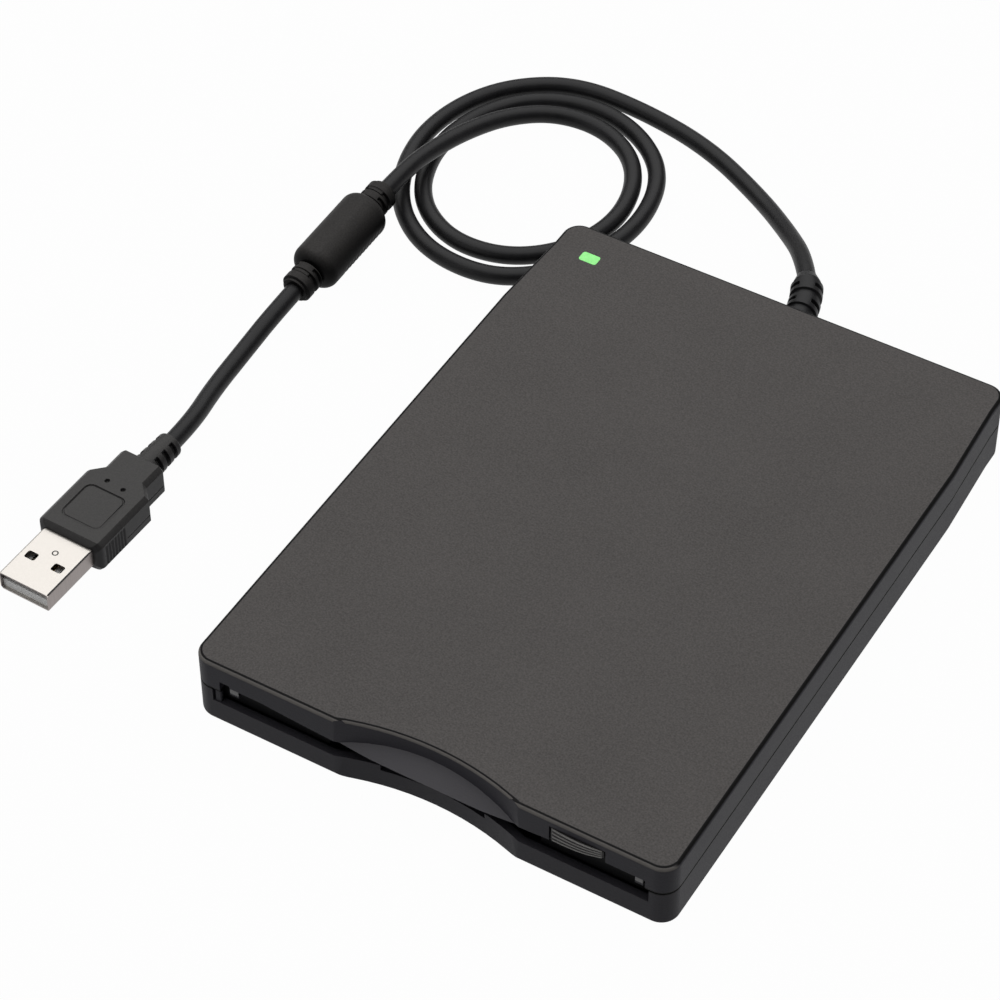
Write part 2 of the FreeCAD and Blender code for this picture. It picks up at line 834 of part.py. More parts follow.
def top_cover():
    outside = plan("roof_outside", "0", ("seam_z", "case_top"))
    fillet(outside, "edge_radius", is_top_edge)
    inside = plan("roof_inside", "side_wall", ("seam_z - over", "roof_in"))
    top = "roof_in + roof_wall / 2"
    backing = common(
        "roof_backing",
        recess_cylinder("roof_backing_round", "side_wall", ("seam_z", top)),
        ramp_wedge("roof_backing_wedge", "ramp_skin", "front_y + side_wall / 2", "frame_front", top),
    )
    recess = common(
        "roof_recess",
        recess_cylinder("roof_recess_round", "0", ("seam_z - over", "case_top + over")),
        ramp_wedge("roof_recess_wedge", "0", "front_y - over", "frame_front", "case_top + over"),
    )
    added = [backing] + door_ears()
    removed = [recess, boot_hole("roof_boot_hole"), seam("roof_seam")]
    depth = ("front_y - over", "frame_front - front_room / 2")
    mouth_x = ("post_gap + post_width - slot_half", "slot_half - mouth_inset")
    removed.append(slot_mouth("mouth", "0", mouth_x, depth))
    window_half = "(button_width / 2 + button_side_gap)"
    window = (f"button_centre - {window_half}", f"button_centre + {window_half}")
    window_y = ("front_y - over", "front_in + merge")
    removed.append(box("button_window", window, window_y, ("lip_z", "window_top")))
    removed.append(lens_hole("lens_window", "lens_clearance", ("roof_in - over", "case_top + over")))
    for side, inner in ((-1, "door_left_inner"), (1, "door_right_inner")):
        x = across(side, f"{inner} - ear_side_gap - ear_width - merge", "slot_half + door_pin_reach")
        removed.append(cylinder("hinge_hole", "x", ("hinge_y", "hinge_z"), "door_pin_radius + pin_clearance", x))
    for place in screw_places():
        added.append(cylinder("roof_boss", "z", place, "boss_radius", ("seam_z", "roof_in + merge")))
        added.append(boss_web("roof_boss_web", place, ("seam_z", "roof_in + merge")))
        bore = "shank_radius + shank_clearance"
        depth_span = ("seam_z - over", "seam_z + screw_reach + screw_end_gap")
        removed.append(cylinder("roof_boss_hole", "z", place, bore, depth_span))
    for side in (-1, 1):
        y = ("frame_front + tab_front - tab_length", "frame_front + tab_front")
        x = across(side, "case_in - tab_gap - tab_thick", "case_in - tab_gap")
        added.append(box("snap_tab", x, y, ("seam_z - tab_drop", "roof_in + merge")))
        x = across(side, "case_in - tab_gap - tab_thick", "case_in + merge")
        added.append(box("snap_root", x, y, ("seam_z + tab_root_gap", "roof_in + merge")))
    lug_y = ("front_y + lug_back", "front_y + lug_thick")
    lug_z = ("lip_side_z - lug_drop", "lip_side_z + merge")
    left = "left_lug_inset - slot_half"
    notch = box("lip_notch", (f"{left} - lip_notch_width", left), ("front_y - over", "front_y + lug_thick"),
                ("lip_z", "lip_side_z + lip_notch_rise"))
    left_lug = box("left_lug", (left, f"{left} + left_lug_width"), lug_y, lug_z)
    right = "slot_half - right_lug_inset"
    right_lug = box("right_lug", (f"{right} - right_lug_width", right), lug_y, lug_z)
    shell = cut("roof_shell", outside, inside)
    cover = cut("roof_cover", fuse("roof_whole", shell, *added), notch, *removed)
    return fuse("roof_with_lugs", cover, left_lug, right_lug)


def status_lens():
    """The lens in the roof; its flange rests against the roof from below."""
    lens = lens_hole("lens_top", "0", ("roof_in - merge", "case_top"))
    half = "lens_width / 2 + lens_flange"
    x = (f"lens_x - ({half})", f"lens_x + {half}")
    half = "lens_depth / 2 + lens_flange"
    y = (f"lens_y - ({half})", f"lens_y + {half}")
    return fuse("lens_whole", lens, box("lens_plate", x, y, ("roof_in - lens_flange_thick", "roof_in")))


def screws(name, places, head, shank, radii):
    """Screws with a round head; head and shank are height spans, radii is (head, shank)."""
    made = []
    for place in places:
        cap = cylinder(name + "_head", "z", place, radii[0], head)
        pin = cylinder(name + "_shank", "z", place, radii[1], shank)
        made.append(fuse(name, cap, pin))
    return group(name + "_set", made)


def housing():
    node("bottom_cover", bottom_cover())
    node("top_cover", top_cover())
    node("status_lens", status_lens())
    pipe_x = ("lens_x - pipe_half", "lens_x + pipe_half")
    pipe_y = ("lens_y - pipe_half", "lens_y + pipe_half")
    low = "usb_top + lamp_height + lamp_gap"
    node("light_pipe", box("light_pipe_bar", pipe_x, pipe_y, (low, "roof_in - lens_flange_thick")))
    height = ("0", "foot_rise + foot_sink")
    feet = [cylinder("foot", "z", place, "foot_radius", height) for place in foot_places()]
    node("rubber_feet", group("feet", feet))
    sunk = "foot_rise + screw_sink"
    head = (f"{sunk} - screw_head_thick", sunk)
    shank = (sunk, "seam_z + screw_reach")
    radii = ("screw_head_radius", "shank_radius")
    node("housing_screws", screws("housing_screw", screw_places(), head, shank, radii))
    head = ("floor_z", "floor_z + screw_head_thick")
    shank = ("floor_z - sheet - drive_screw_reach", "floor_z")
    radii = ("screw_head_radius", "drive_screw_radius")
    node("drive_screws", screws("drive_screw", drive_screw_places(), head, shank, radii))


# ---------------------------------------------------------------- dust door and button


def door_wing(side, inner):
    """One wing of the dust door with its hinge barrel and two pins."""
    outer = "slot_half - ear_side_gap"
    top = "hinge_z"
    plate_y = ("front_in + door_gap", "front_in + door_gap + door_thick")
    plate = box("door_plate", across(side, inner, outer), plate_y, ("rim_z + door_gap", top))
    barrel_x = across(side, f"{inner} + door_spring_room", outer)
    barrel = cylinder("door_barrel", "x", ("hinge_y", "hinge_z"), "barrel_radius", barrel_x)
    pin_x = across(side, f"{inner} - door_pin_reach", f"{outer} + door_pin_reach")
    pin = cylinder("door_pin", "x", ("hinge_y", "hinge_z"), "door_pin_radius", pin_x)
    room_x = across(side, f"{inner} - merge", f"{inner} + door_spring_room")
    room_y = ("front_in", "hinge_y + 2 * over")
    room = box("door_spring_room_cut", room_x, room_y, ("hinge_z - over", "hinge_z + over"))
    return fuse("door_wing", cut("door_plate_cut", plate, room), barrel, pin)


def doors():
    wings = ((-1, "door_left_inner", "left_door"), (1, "door_right_inner", "right_door"))
    springs = []
    for side, inner, name in wings:
        node(name, door_wing(side, inner))
        x = across(side, f"{inner} + door_spring_gap", f"{inner} + door_spring_room - door_spring_gap")
        bore = "door_pin_radius + door_spring_gap"
        springs.append(tube("door_spring", "x", ("hinge_y", "hinge_z"), "barrel_radius", bore, x))
    node("door_springs", group("door_spring_set", springs))


def eject_button():
    half = "button_width / 2"
    x = (f"button_centre - {half}", f"button_centre + {half}")
    front = "front_y - button_out"
    y = (front, f"{front} + button_thick")
    block = box("button_block", x, y, ("lip_z", "button_z"))
    bow = cylinder("button_bow", "z", ("button_centre", f"{front} + button_bow_radius"), "button_bow_radius",
                   ("lip_z - over", "button_z + over"))
    below_y = ("front_y - button_out - over", "front_in")
    below = slot_mouth("button_below", "button_lift", (f"{x[0]} - over", f"{x[1]} + over"), below_y)
    grooves = []
    groove_x = (f"{x[0]} + rib_inset", f"{x[1]} - rib_inset")
    for i in range(int(size("rib_count"))):
        low = f"button_z - {i + 1} * rib_pitch"
        groove_y = (front, f"{front} + rib_depth")
        grooves.append(box("button_groove", groove_x, groove_y, (low, f"{low} + rib_gap")))
    half = "(tongue_width / 2 + tongue_fit)"
    reach_x = (f"button_centre - {half}", f"button_centre + {half}")
    reach_z = ("tongue_z - tongue_fit", "tongue_z + sheet + tongue_fit")
    reach = box("button_pocket", reach_x, (f"{y[1]} - tongue_sink", "front_in"), reach_z)
    return cut("button_cap", common("button_round", block, bow), below, reach, *grooves)


# ---------------------------------------------------------------- drive frame


def corner_flanges():
    """(side, low y, high y) of the four flanges that carry the drive's top plate."""
    rows = (("frame_front + flange_front", "frame_front + flange_front + flange_length"),
            ("frame_rear - flange_rear - flange_length", "frame_rear - flange_rear"))
    return [(side, low, high) for side in (-1, 1) for low, high in rows]


def top_screw_places():
    places = []
    for side, low, high in corner_flanges():
        places.append((f"{side} * (frame_in - flange_width / 2)", f"(({low}) + ({high})) / 2"))
    return places


def standoff_places():
    left = "control_left - frame_in + standoff_inset"
    right = f"{left} + control_width - 2 * standoff_inset"
    front = "control_end - control_length + standoff_inset"
    rear = "control_end - socket_length - standoff_inset"
    return [(left, front), (left, rear), (right, rear)]


def drive_chassis():
    y = ("frame_front", "frame_rear")
    floor = box("chassis_floor", ("-frame_out", "frame_out"), y, ("chassis_z", "floor_z"))
    added = []
    removed = [box("stator_window", ("-stator_half - board_fit", "stator_half + board_fit"),
                   ("spindle_y - stator_front - board_fit", "spindle_y + stator_back + board_fit"),
                   ("chassis_z - over", "floor_z + over"))]
    for side in (-1, 1):
        wall_x = across(side, "frame_in", "frame_out")
        added.append(box("chassis_wall", wall_x, y, ("chassis_z", "frame_top")))
        half = "(pin_radius + pin_slot_gap)"
        for at in ("pin_front_y", "pin_rear_y"):
            x = across(side, "frame_in - merge", "frame_out + merge")
            z = (f"pin_z - disk_drop - {half}", f"pin_z + {half}")
            removed.append(box("chassis_slot", x, (f"{at} - {half}", f"{at} + {half}"), z))
        x = (f"{side} * spring_x - hook_half", f"{side} * spring_x + hook_half")
        added.append(box("spring_hook", x, ("hook_y", "hook_y + sheet"),
                         ("slide_z - hook_drop", "frame_top - flange_thick / 2")))
    for side, low, high in corner_flanges():
        x = across(side, "frame_in - flange_width", "frame_in + chassis_side / 2")
        added.append(box("chassis_flange", x, (low, high), ("frame_top - flange_thick", "frame_top")))
    for place in top_screw_places():
        removed.append(cylinder("flange_hole", "z", place, "top_screw_radius + pin_clearance",
                                ("frame_top - flange_thick - merge", "frame_top + merge")))
    for place in drive_screw_places():
        removed.append(cylinder("chassis_hole", "z", place, "drive_screw_radius + pin_clearance",
                                ("chassis_z - merge", "floor_z + merge")))
    for place in standoff_places():
        added.append(cylinder("standoff", "z", place, "standoff_radius", ("chassis_z + merge", "control_z")))
    return cut("chassis", fuse("chassis_whole", floor, *added), *removed)


def top_plate():
    y = ("frame_front + top_plate_back", "frame_rear")
    plate = box("shield", ("-frame_out", "frame_out"), y, ("frame_top", "plate_top"))
    bore = "top_screw_radius + pin_clearance"
    z = ("frame_top - merge", "plate_top + merge")
    holes = [cylinder("shield_hole", "z", place, bore, z) for place in top_screw_places()]
    return cut("shield_plate", plate, *holes)


def disk_holder():
    y = ("holder_y", "holder_rear")
    top = box("holder_plate", ("-holder_out", "holder_out"), y, ("holder_z", "holder_top"))
    added = []
    for side in (-1, 1):
        wall_x = across(side, "holder_in", "holder_out")
        added.append(box("holder_wall", wall_x, y, ("holder_base", "holder_top")))
        lip_x = across(side, "holder_out - holder_lip - holder_side", "holder_out")
        added.append(box("holder_lip_bar", lip_x, y, ("holder_base", "rim_z")))
    opening_x = ("-head_opening_half", "head_opening_half")
    opening = box("holder_opening", opening_x, ("opening_y", "holder_rear + over"),
                  ("holder_z - merge", "holder_top + merge"))
    return cut("holder", fuse("holder_whole", top, *added), opening)


def guide_pins():
    pins = []
    for side in (-1, 1):
        for y in ("pin_front_y", "pin_rear_y"):
            x = across(side, "holder_out", "frame_out - pin_end_gap")
            pins.append(cylinder("guide_pin", "x", (y, "pin_z"), "pin_radius", x))
    return group("guide_pin_set", pins)


def cam_slot(name, side, y):
    """The slanted slot that a guide pin runs down as the slide comes forward."""
    c = "(pin_radius + pin_slot_gap)"
    far = f"{y} + slide_travel"
    low = "pin_z - disk_drop"
    points = [
        (f"{y} - {c}", f"pin_z - {c}"),
        (f"{far} - {c}", f"{low} - {c}"),
        (f"{far} + {c}", f"{low} - {c}"),
        (f"{far} + {c}", f"{low} + {c}"),
        (f"{y} + {c}", f"pin_z + {c}"),
        (f"{y} - {c}", f"pin_z + {c}"),
    ]
    return outline(name, "YZ", points, across(side, "slide_in - merge", "slide_out + merge"))


def slide_plate():
    y = ("slide_y", "holder_rear")
    z = ("slide_z", "slide_top")
    top = box("slide_sheet", ("-slide_out", "slide_out"), y, z)
    added = []
    through = ("slide_z - merge", "slide_top + merge")
    window_y = ("slide_y + slide_window_margin", "opening_y - slide_window_margin")
    opening_x = ("-head_opening_half", "head_opening_half")
    removed = [
        box("slide_opening", opening_x, ("opening_y", "holder_rear + over"), through),
        box("slide_window", ("-slide_window_half", "slide_window_half"), window_y, through),
    ]
    for side in (-1, 1):
        x = across(side, "slide_in", "slide_out")
        wing_y = ("pin_front_y - wing_margin", "pin_rear_y + slide_travel + wing_margin")
        added.append(box("slide_wing", x, wing_y, ("slide_z - wing_drop", "slide_top")))
        removed.append(cam_slot("front_cam", side, "pin_front_y"))
        removed.append(cam_slot("rear_cam", side, "pin_rear_y"))
    x = ("button_centre - tongue_width / 2", "button_centre + tongue_width / 2")
    added.append(box("tongue_riser", x, ("slide_y", "slide_y + sheet"), ("slide_z", "tongue_z + sheet")))
    front = "front_y - button_out + button_thick - tongue_sink + tongue_fit"
    added.append(box("tongue", x, (front, "slide_y + sheet"), ("tongue_z", "tongue_z + sheet")))
    return cut("slide", fuse("slide_whole", top, *added), *removed)


def slide_springs():
    springs = []
    for side in (-1, 1):
        ends = ("holder_rear + spring_gap", "hook_y")
        place = (f"{side} * spring_x", "slide_top - spring_drop")
        springs.append(cylinder("slide_spring", "y", place, "spring_radius", ends))
    return group("slide_spring_set", springs)


def latch_lever():
    """The lever at rest: a ring on its pivot and a bar that reaches into the disk's way."""
    ends = ("latch_z", "latch_z + latch_thick")
    ring = cylinder("latch_ring", "z", ("0", "0"), "latch_radius", ends)
    bar = box("latch_arm", ("0", "latch_bar"), ("-latch_bar_half", "latch_bar_half"), ends)
    tip = cylinder("latch_tip", "z", ("latch_bar", "0"), "latch_bar_half", ends)
    bore = "latch_pin_radius + pin_clearance"
    hole = cylinder("latch_hole", "z", ("0", "0"), bore, ("latch_z - over", f"{ends[1]} + over"))
    lever = cut("latch", fuse("latch_whole", ring, bar, tip), hole)
    lever.Placement = FreeCAD.Placement(V(), FreeCAD.Rotation(V(0, 0, 1), 1))
    bind(lever, "Placement.Rotation.Angle", "latch_angle")
    bind(lever, "Placement.Base.x", "latch_x")
    bind(lever, "Placement.Base.y", "latch_y")
    return lever


def latch_pivot():
    place = ("latch_x", "latch_y")
    top = "latch_z + latch_thick + latch_gap"
    collar = cylinder("latch_collar", "z", place, "latch_collar_radius", ("floor_z", "latch_z - latch_gap"))
    pin = cylinder("latch_pin", "z", place, "latch_pin_radius", ("floor_z", top))
    cap = cylinder("latch_cap", "z", place, "latch_collar_radius", (top, f"{top} + latch_cap_thick"))
    return fuse("latch_post", collar, pin, cap)


def disk_sensors():
    """Two switches under the disk's front corners."""
    switches = []
    for side in (-1, 1):
        middle = f"{side} * (disk_width / 2 - switch_inset)"
        x = (f"{middle} - switch_half", f"{middle} + switch_half")
        y = ("holder_y + switch_back", "holder_y + switch_back + switch_length")
        body = box("switch_body", x, y, ("floor_z", "floor_z + switch_height"))
        plunger = cylinder("switch_plunger", "z", (middle, f"{y[0]} + switch_length / 2"), "plunger_radius",
                           ("floor_z + switch_height", "floor_z + disk_low - plunger_gap"))
        switches.append(fuse("switch", body, plunger))
    return group("switches", switches)


def drive_frame():
    node("drive_chassis", drive_chassis())
    node("drive_top_plate", top_plate())
    head = ("plate_top", "plate_top + top_screw_head_thick")
    shank = ("plate_top - sheet - top_screw_reach", "plate_top")
    radii = ("top_screw_head", "top_screw_radius")
    node("top_plate_screws", screws("top_screw", top_screw_places(), head, shank, radii))
    node("disk_holder", disk_holder())
    node("holder_pins", guide_pins())
    node("slide_plate", slide_plate())
    node("slide_springs", slide_springs())
    node("latch_lever", latch_lever())
    node("latch_pivot", latch_pivot())
    node("disk_sensors", disk_sensors())


# ---------------------------------------------------------------- spindle motor


def spindle_motor():
    centre = ("0", "spindle_y")
    board_y = ("spindle_y - stator_front", "spindle_y + stator_back")
    board_z = ("floor_z - board_thick", "floor_z")
    board = box("stator_sheet", ("-stator_half", "stator_half"), board_y, board_z)
    node("stator_board", board)
    coils = []
    count = int(size("coil_count"))
    for i in range(count):
        turn = 360 * i / count
        place = (f"coil_circle * cos({turn})", f"spindle_y + coil_circle * sin({turn})")
        coil_z = ("floor_z", "floor_z + coil_height")
        coils.append(tube("coil", "z", place, "coil_radius", "coil_core", coil_z))
    node("stator_coils", group("coils", coils))
    node("spindle_bearing", tube("bearing", "z", centre, "bearing_radius", "shaft_radius + pin_clearance",
                                 ("floor_z", "floor_z + bearing_height")))
    plate = cylinder("rotor_disc", "z", centre, "rotor_radius", ("rotor_z", "rotor_top"))
    hang = ("rotor_z - rotor_hang", "rotor_z")
    skirt = tube("rotor_rim", "z", centre, "rotor_radius", "rotor_radius - rotor_skirt", hang)
    shaft = cylinder("rotor_shaft", "z", centre, "shaft_radius", ("floor_z + shaft_gap", "rotor_z"))
    node("spindle_rotor", fuse("rotor", plate, skirt, shaft))
    outer = "rotor_radius - rotor_skirt - magnet_fit"
    node("rotor_magnet", tube("magnet", "z", centre, outer, f"{outer} - magnet_width",
                              ("rotor_z - rotor_hang + magnet_fit", "rotor_z")))
    hub = cylinder("hub_disc", "z", centre, "hub_radius", ("rotor_top", "hub_top"))
    pin = cylinder("hub_pin", "z", centre, "centre_pin_radius", ("hub_top", "hub_top + centre_pin_height"))
    node("spindle_hub", fuse("hub", hub, pin))
    node("drive_pin", cylinder("hub_drive_pin", "z", ("drive_pin_offset", "spindle_y"), "drive_pin_radius",
                               ("hub_top", "hub_top + drive_pin_height")))


# ---------------------------------------------------------------- head carriage


def head_carriage():
    y = ("carriage_y", "carriage_end")
    body_z = ("floor_z + carriage_lift", "carriage_roof")
    body = box("carriage_body", ("-carriage_half", "carriage_half"), y, body_z)
    arm = box("carriage_arm", ("-arm_half", "arm_half"), ("head_y - head_length / 2", "carriage_y + merge"),
              ("arm_z", "arm_top"))
    post_y = ("pivot_y - post_length / 2", "pivot_y + post_length / 2")
    post_z = ("carriage_roof - merge", "pivot_z + post_rise")
    post = box("carriage_post", ("-post_half", "post_half"), post_y, post_z)
    ear_x = ("carriage_half - ear_thick", "carriage_half")
    ear = box("carriage_ear", ear_x, ("carriage_y", "carriage_y + ear_length"),
              ("carriage_roof - merge", "lead_z + follower_half_height"))
    bores = [cylinder("rod_bore", "y", (f"{side} * rod_x", "rod_z"), "rod_radius + pin_clearance",
                      ("carriage_y - over", "carriage_end + over")) for side in (-1, 1)]
    bores.append(cylinder("hinge_bore", "x", ("pivot_y", "pivot_z"), "hinge_radius + pin_clearance",
                          ("-post_half - over", "post_half + over")))
    return cut("carriage", fuse("carriage_whole", body, arm, post, ear), *bores)


def upper_arm():
    outer = "post_half + upper_gap + upper_ear"
    ear_y = ("pivot_y - upper_ear_half", "pivot_y + upper_ear_half")
    plate = box("upper_plate", (f"-({outer})", outer), ("head_y - head_length / 2", ear_y[1]),
                ("upper_z", "upper_z + upper_thick"))
    ears = [box("upper_ear_plate", across(side, "post_half + upper_gap", outer), ear_y,
                ("pivot_z - upper_ear_drop", "upper_z + upper_thick")) for side in (-1, 1)]
    bore = cylinder("upper_bore", "x", ("pivot_y", "pivot_z"), "hinge_radius + pin_clearance",
                    (f"-({outer}) - over", f"{outer} + over"))
    return cut("upper", fuse("upper_whole", plate, *ears), bore)


def guide_rods():
    rods = []
    clamps = []
    for side in (-1, 1):
        place = (f"{side} * rod_x", "rod_z")
        rods.append(cylinder("rod", "y", place, "rod_radius", ("clamp_y + rod_end", "clamp_rear - rod_end")))
        for low in ("clamp_y", "clamp_rear - clamp_length"):
            x = (f"{side} * rod_x - clamp_half", f"{side} * rod_x + clamp_half")
            block = box("clamp_block", x, (low, f"{low} + clamp_length"), ("floor_z", "rod_z + clamp_top"))
            ends = ("clamp_y - over", "clamp_rear + over")
            hole = cylinder("clamp_hole", "y", place, "rod_radius + rod_fit", ends)
            clamps.append(cut("clamp", block, hole))
    return group("rod_pair", rods), group("clamp_set", clamps)


def motor_bracket():
    hole_ends = ("clamp_y - over", "bracket_end + over")
    rear_x = ("lead_x - bracket_half", "lead_x + bracket_half")
    rear_z = ("floor_z", "lead_z + motor_radius - bracket_low")
    rear = box("bracket_rear", rear_x, ("bracket_y", "bracket_end"), rear_z)
    front_x = ("lead_x - bracket_front_half", "lead_x + bracket_front_half")
    front_z = ("floor_z", "lead_z + lead_radius + bracket_over")
    front = box("bracket_front", front_x, ("clamp_y", "screw_y"), front_z)
    foot = box("bracket_foot", front_x, ("clamp_y", "bracket_end"), ("floor_z", "floor_z + bracket_thick"))
    hole = cylinder("bracket_hole", "y", ("lead_x", "lead_z"), "lead_radius + lead_fit", hole_ends)
    return cut("bracket", fuse("bracket_whole", rear, front, foot), hole)


def stepper_motor():
    y = ("bracket_end", "bracket_end + motor_length")
    can = cylinder("motor_can", "y", ("lead_x", "lead_z"), "motor_radius", y)
    block_y = ("bracket_end + terminal_back", "bracket_end + terminal_back + terminal_length")
    block = box("motor_terminals", ("lead_x - terminal_half", "lead_x + terminal_half"), block_y,
                ("lead_z", "lead_z + motor_radius + terminal_rise"))
    return fuse("motor", can, block)


def heads():
    node("head_carriage", head_carriage())
    head_y = ("head_y - head_length / 2", "head_y + head_length / 2")
    head_x = ("-head_half", "head_half")
    node("lower_head", box("lower_head_block", head_x, head_y, ("arm_top", "arm_top + head_height")))
    outer = "post_half + upper_gap + upper_ear"
    pin = cylinder("arm_pin_rod", "x", ("pivot_y", "pivot_z"), "hinge_radius", (f"-({outer})", outer))
    node("arm_pin", pin)
    follower_x = ("carriage_half", "lead_x - lead_radius - follower_gap")
    follower_y = ("carriage_y + follower_back", "carriage_y + follower_back + follower_length")
    node("screw_follower", box("follower_bar", follower_x, follower_y,
                               ("lead_z - follower_half_height", "lead_z + follower_half_height")))
    node("upper_head_arm", upper_arm())
    node("upper_head", box("upper_head_block", head_x, head_y, ("disk_top + upper_head_gap", "upper_z")))
    rods, clamps = guide_rods()
    node("guide_rods", rods)
    node("rod_clamps", clamps)
    ends = ("clamp_y", "bracket_end - lead_end_gap")
    node("lead_screw", cylinder("lead_screw_rod", "y", ("lead_x", "lead_z"), "lead_radius", ends))
    node("motor_bracket", motor_bracket())
    node("stepper_motor", stepper_motor())


# ---------------------------------------------------------------- circuit boards


# Chips as (x, y, width, depth, height): y is from the front edge of their board, x from the left edge of the
# control board or, on the converter board, from the middle of the cord's hole.
CONTROL_CHIPS = ((4, 1.5, 9, 9, 1.2), (16, 2, 6, 8, 1.0), (24, 3, 3, 4, 1.4), (3, 12.5, 4, 2.5, 0.9))
USB_CHIPS = ((-16.6, 1.2, 7, 7, 1.0), (-8.1, 2, 3, 3, 0.9), (7.4, 1.5, 5, 5, 1.1), (14.9, 2, 2, 3, 1.2))


def chip_set(name, chips, left, front, base):
    made = []
    for x, y, width, depth, height in chips:
        chip_x = (f"{left} + {x}", f"{left} + {x + width}")
        chip_y = (f"{front} + {y}", f"{front} + {y + depth}")
        made.append(box(name, chip_x, chip_y, (base, f"{base} + {height}")))
    return group(name + "_set", made)


def electronics():
    left = "control_left - frame_in"
    start = "control_end - control_length"
    board_x = (left, f"{left} + control_width")
    node("control_board", box("control_sheet", board_x, (start, "control_end"), ("control_z", "control_top")))
    node("control_chips", chip_set("control_chip", CONTROL_CHIPS, left, start, "control_top"))
    board_y = ("usb_y", "usb_y + usb_length")
    node("usb_board", box("usb_sheet", ("-usb_left", "usb_right"), board_y, ("usb_z", "usb_top")))
    node("usb_chips", chip_set("usb_chip", USB_CHIPS, "boot_x", "usb_y", "usb_top"))
    x = ("boot_x - crystal_side", "boot_x - crystal_side + crystal_width")
    y = ("usb_y + crystal_back", "usb_y + crystal_back + crystal_length")
    node("crystal", box("crystal_can", x, y, ("usb_top", "usb_top + crystal_height")))
    flex_x = ("flex_x - flex_width / 2", "flex_x + flex_width / 2")
    socket_x = (f"{flex_x[0]} - socket_side", f"{flex_x[1]} + socket_side")
    rear = "usb_y + socket_back"
    top = "usb_top + socket_height"
    sockets = [
        box("front_socket", socket_x, ("control_end - socket_length", "control_end"), ("control_top", top)),
        box("rear_socket", socket_x, (rear, f"{rear} + socket_length"), ("usb_top", top)),
    ]
    node("flex_sockets", group("flex_socket_set", sockets))
    node("flat_cable", box("flex", flex_x, ("control_end", rear), ("flex_z", "flex_z + flex_thick")))
    lamp_x = ("lens_x - lamp_half", "lens_x + lamp_half")
    lamp_y = ("lens_y - lamp_half", "lens_y + lamp_half")
    node("status_lamp", box("lamp", lamp_x, lamp_y, ("usb_top", "usb_top + lamp_height")))
    socket_start = "usb_y + cord_socket_back"
    socket_end = f"{socket_start} + cord_socket_length"
    socket_x = ("boot_x - cord_socket_half", "boot_x + cord_socket_half")
    node("cord_socket", box("cord_socket_block", socket_x, (socket_start, socket_end),
                            ("usb_top", "usb_top + cord_socket_height")))
    wires = []
    for i in range(int(size("wire_count"))):
        place = (f"boot_x + ({i} - (wire_count - 1) / 2) * wire_pitch", "usb_top + cord_socket_height / 2")
        wires.append(cylinder("wire", "y", place, "wire_radius", (socket_end, "flange_y")))
    node("cord_wires", group("wires", wires))


# ---------------------------------------------------------------- cord and what is on it

# Chosen points of the cord's middle line, from the boot's tip through the bead to the plug.
ROUTE = [
    (-2.94, 87.03, 9.8), (-7.0, 93.4, 9.2), (-14.6, 101.8, 5.0), (-26.5, 112.0, 2.0), (-44.0, 121.0, 2.0),
    (-62.5, 125.0, 2.0), (-80.5, 125.4, 2.0), (-93.5, 117.0, 2.0), (-100.6, 104.0, 2.0), (-101.6, 88.0, 2.0),
    (-95.0, 71.6, 2.0), (-82.5, 61.5, 2.0), (-67.0, 59.8, 2.0), (-55.8, 66.0, 2.0), (-48.4, 77.6, 2.0),
    (-45.2, 91.8, 2.0), (-48.6, 107.0, 2.0), (-58.2, 116.6, 2.0), (-71.5, 121.0, 2.0), (-85.5, 117.0, 2.0),
    (-94.4, 106.0, 2.0), (-97.0, 90.5, 2.0), (-91.6, 75.0, 2.0), (-79.2, 66.4, 2.0), (-65.4, 67.2, 2.0),
    (-55.0, 75.7, 2.0), (-50.2, 88.5, 2.0), (-52.0, 101.0, 2.0), (-58.2, 110.4, 2.0), (-68.4, 115.2, 2.2),
    (-78.9, 112.8, 3.6), (-86.3, 104.6, 5.5), (-90.8, 94.6, 6.8), (-93.6, 84.5, 7.6), (-94.7, 73.0, 8.7),
    (-96.85, 27.2, 4.4), (-97.3, 14.5, 2.1), (-96.6, 2.5, 2.0), (-94.2, -9.0, 3.3), (-94.1, -16.5, 3.8),
]


def cord_path():
    """Straight runs joined by tangent arcs, each as large as its runs allow.  Prints the radii."""
    points = [V(*p) for p in ROUTE]
    edges = []
    radii = []
    last = points[0]
    for before, at, after in zip(points, points[1:], points[2:]):
        back = before - at
        ahead = after - at
        reach = 0.45 * min(back.Length, ahead.Length)
        turn = math.pi - back.getAngle(ahead)
        radius = reach / math.tan(turn / 2)
        radii.append(radius)
        start = at + back.normalize() * reach
        end = at + ahead.normalize() * reach
        middle = (back + ahead).normalize()
        top = at + middle * (math.hypot(radius, reach) - radius)
        edges.append(Part.LineSegment(last, start).toShape())
        edges.append(Part.Arc(start, top, end).toShape())
        last = end
    edges.append(Part.LineSegment(last, points[-1]).toShape())
    print("cord radii", " ".join(f"{r:.1f}" for r in radii))
    return Part.Wire(edges)


def usb_cord():
    path = cord_path()
    start = V(*ROUTE[0])
    profile = Part.Wire(Part.makeCircle(size("cord_radius"), start, V(*ROUTE[1]) - start))
    cord = doc.addObject("Part::Feature", "cord_tube")
    cord.Shape = path.makePipeShell([profile], True, True)
    swept = math.pi * size("cord_radius") ** 2 * path.Length
    print(f"cord length {path.Length:.1f}, volume {cord.Shape.Volume:.1f}, section x length {swept:.1f}")
    return cord


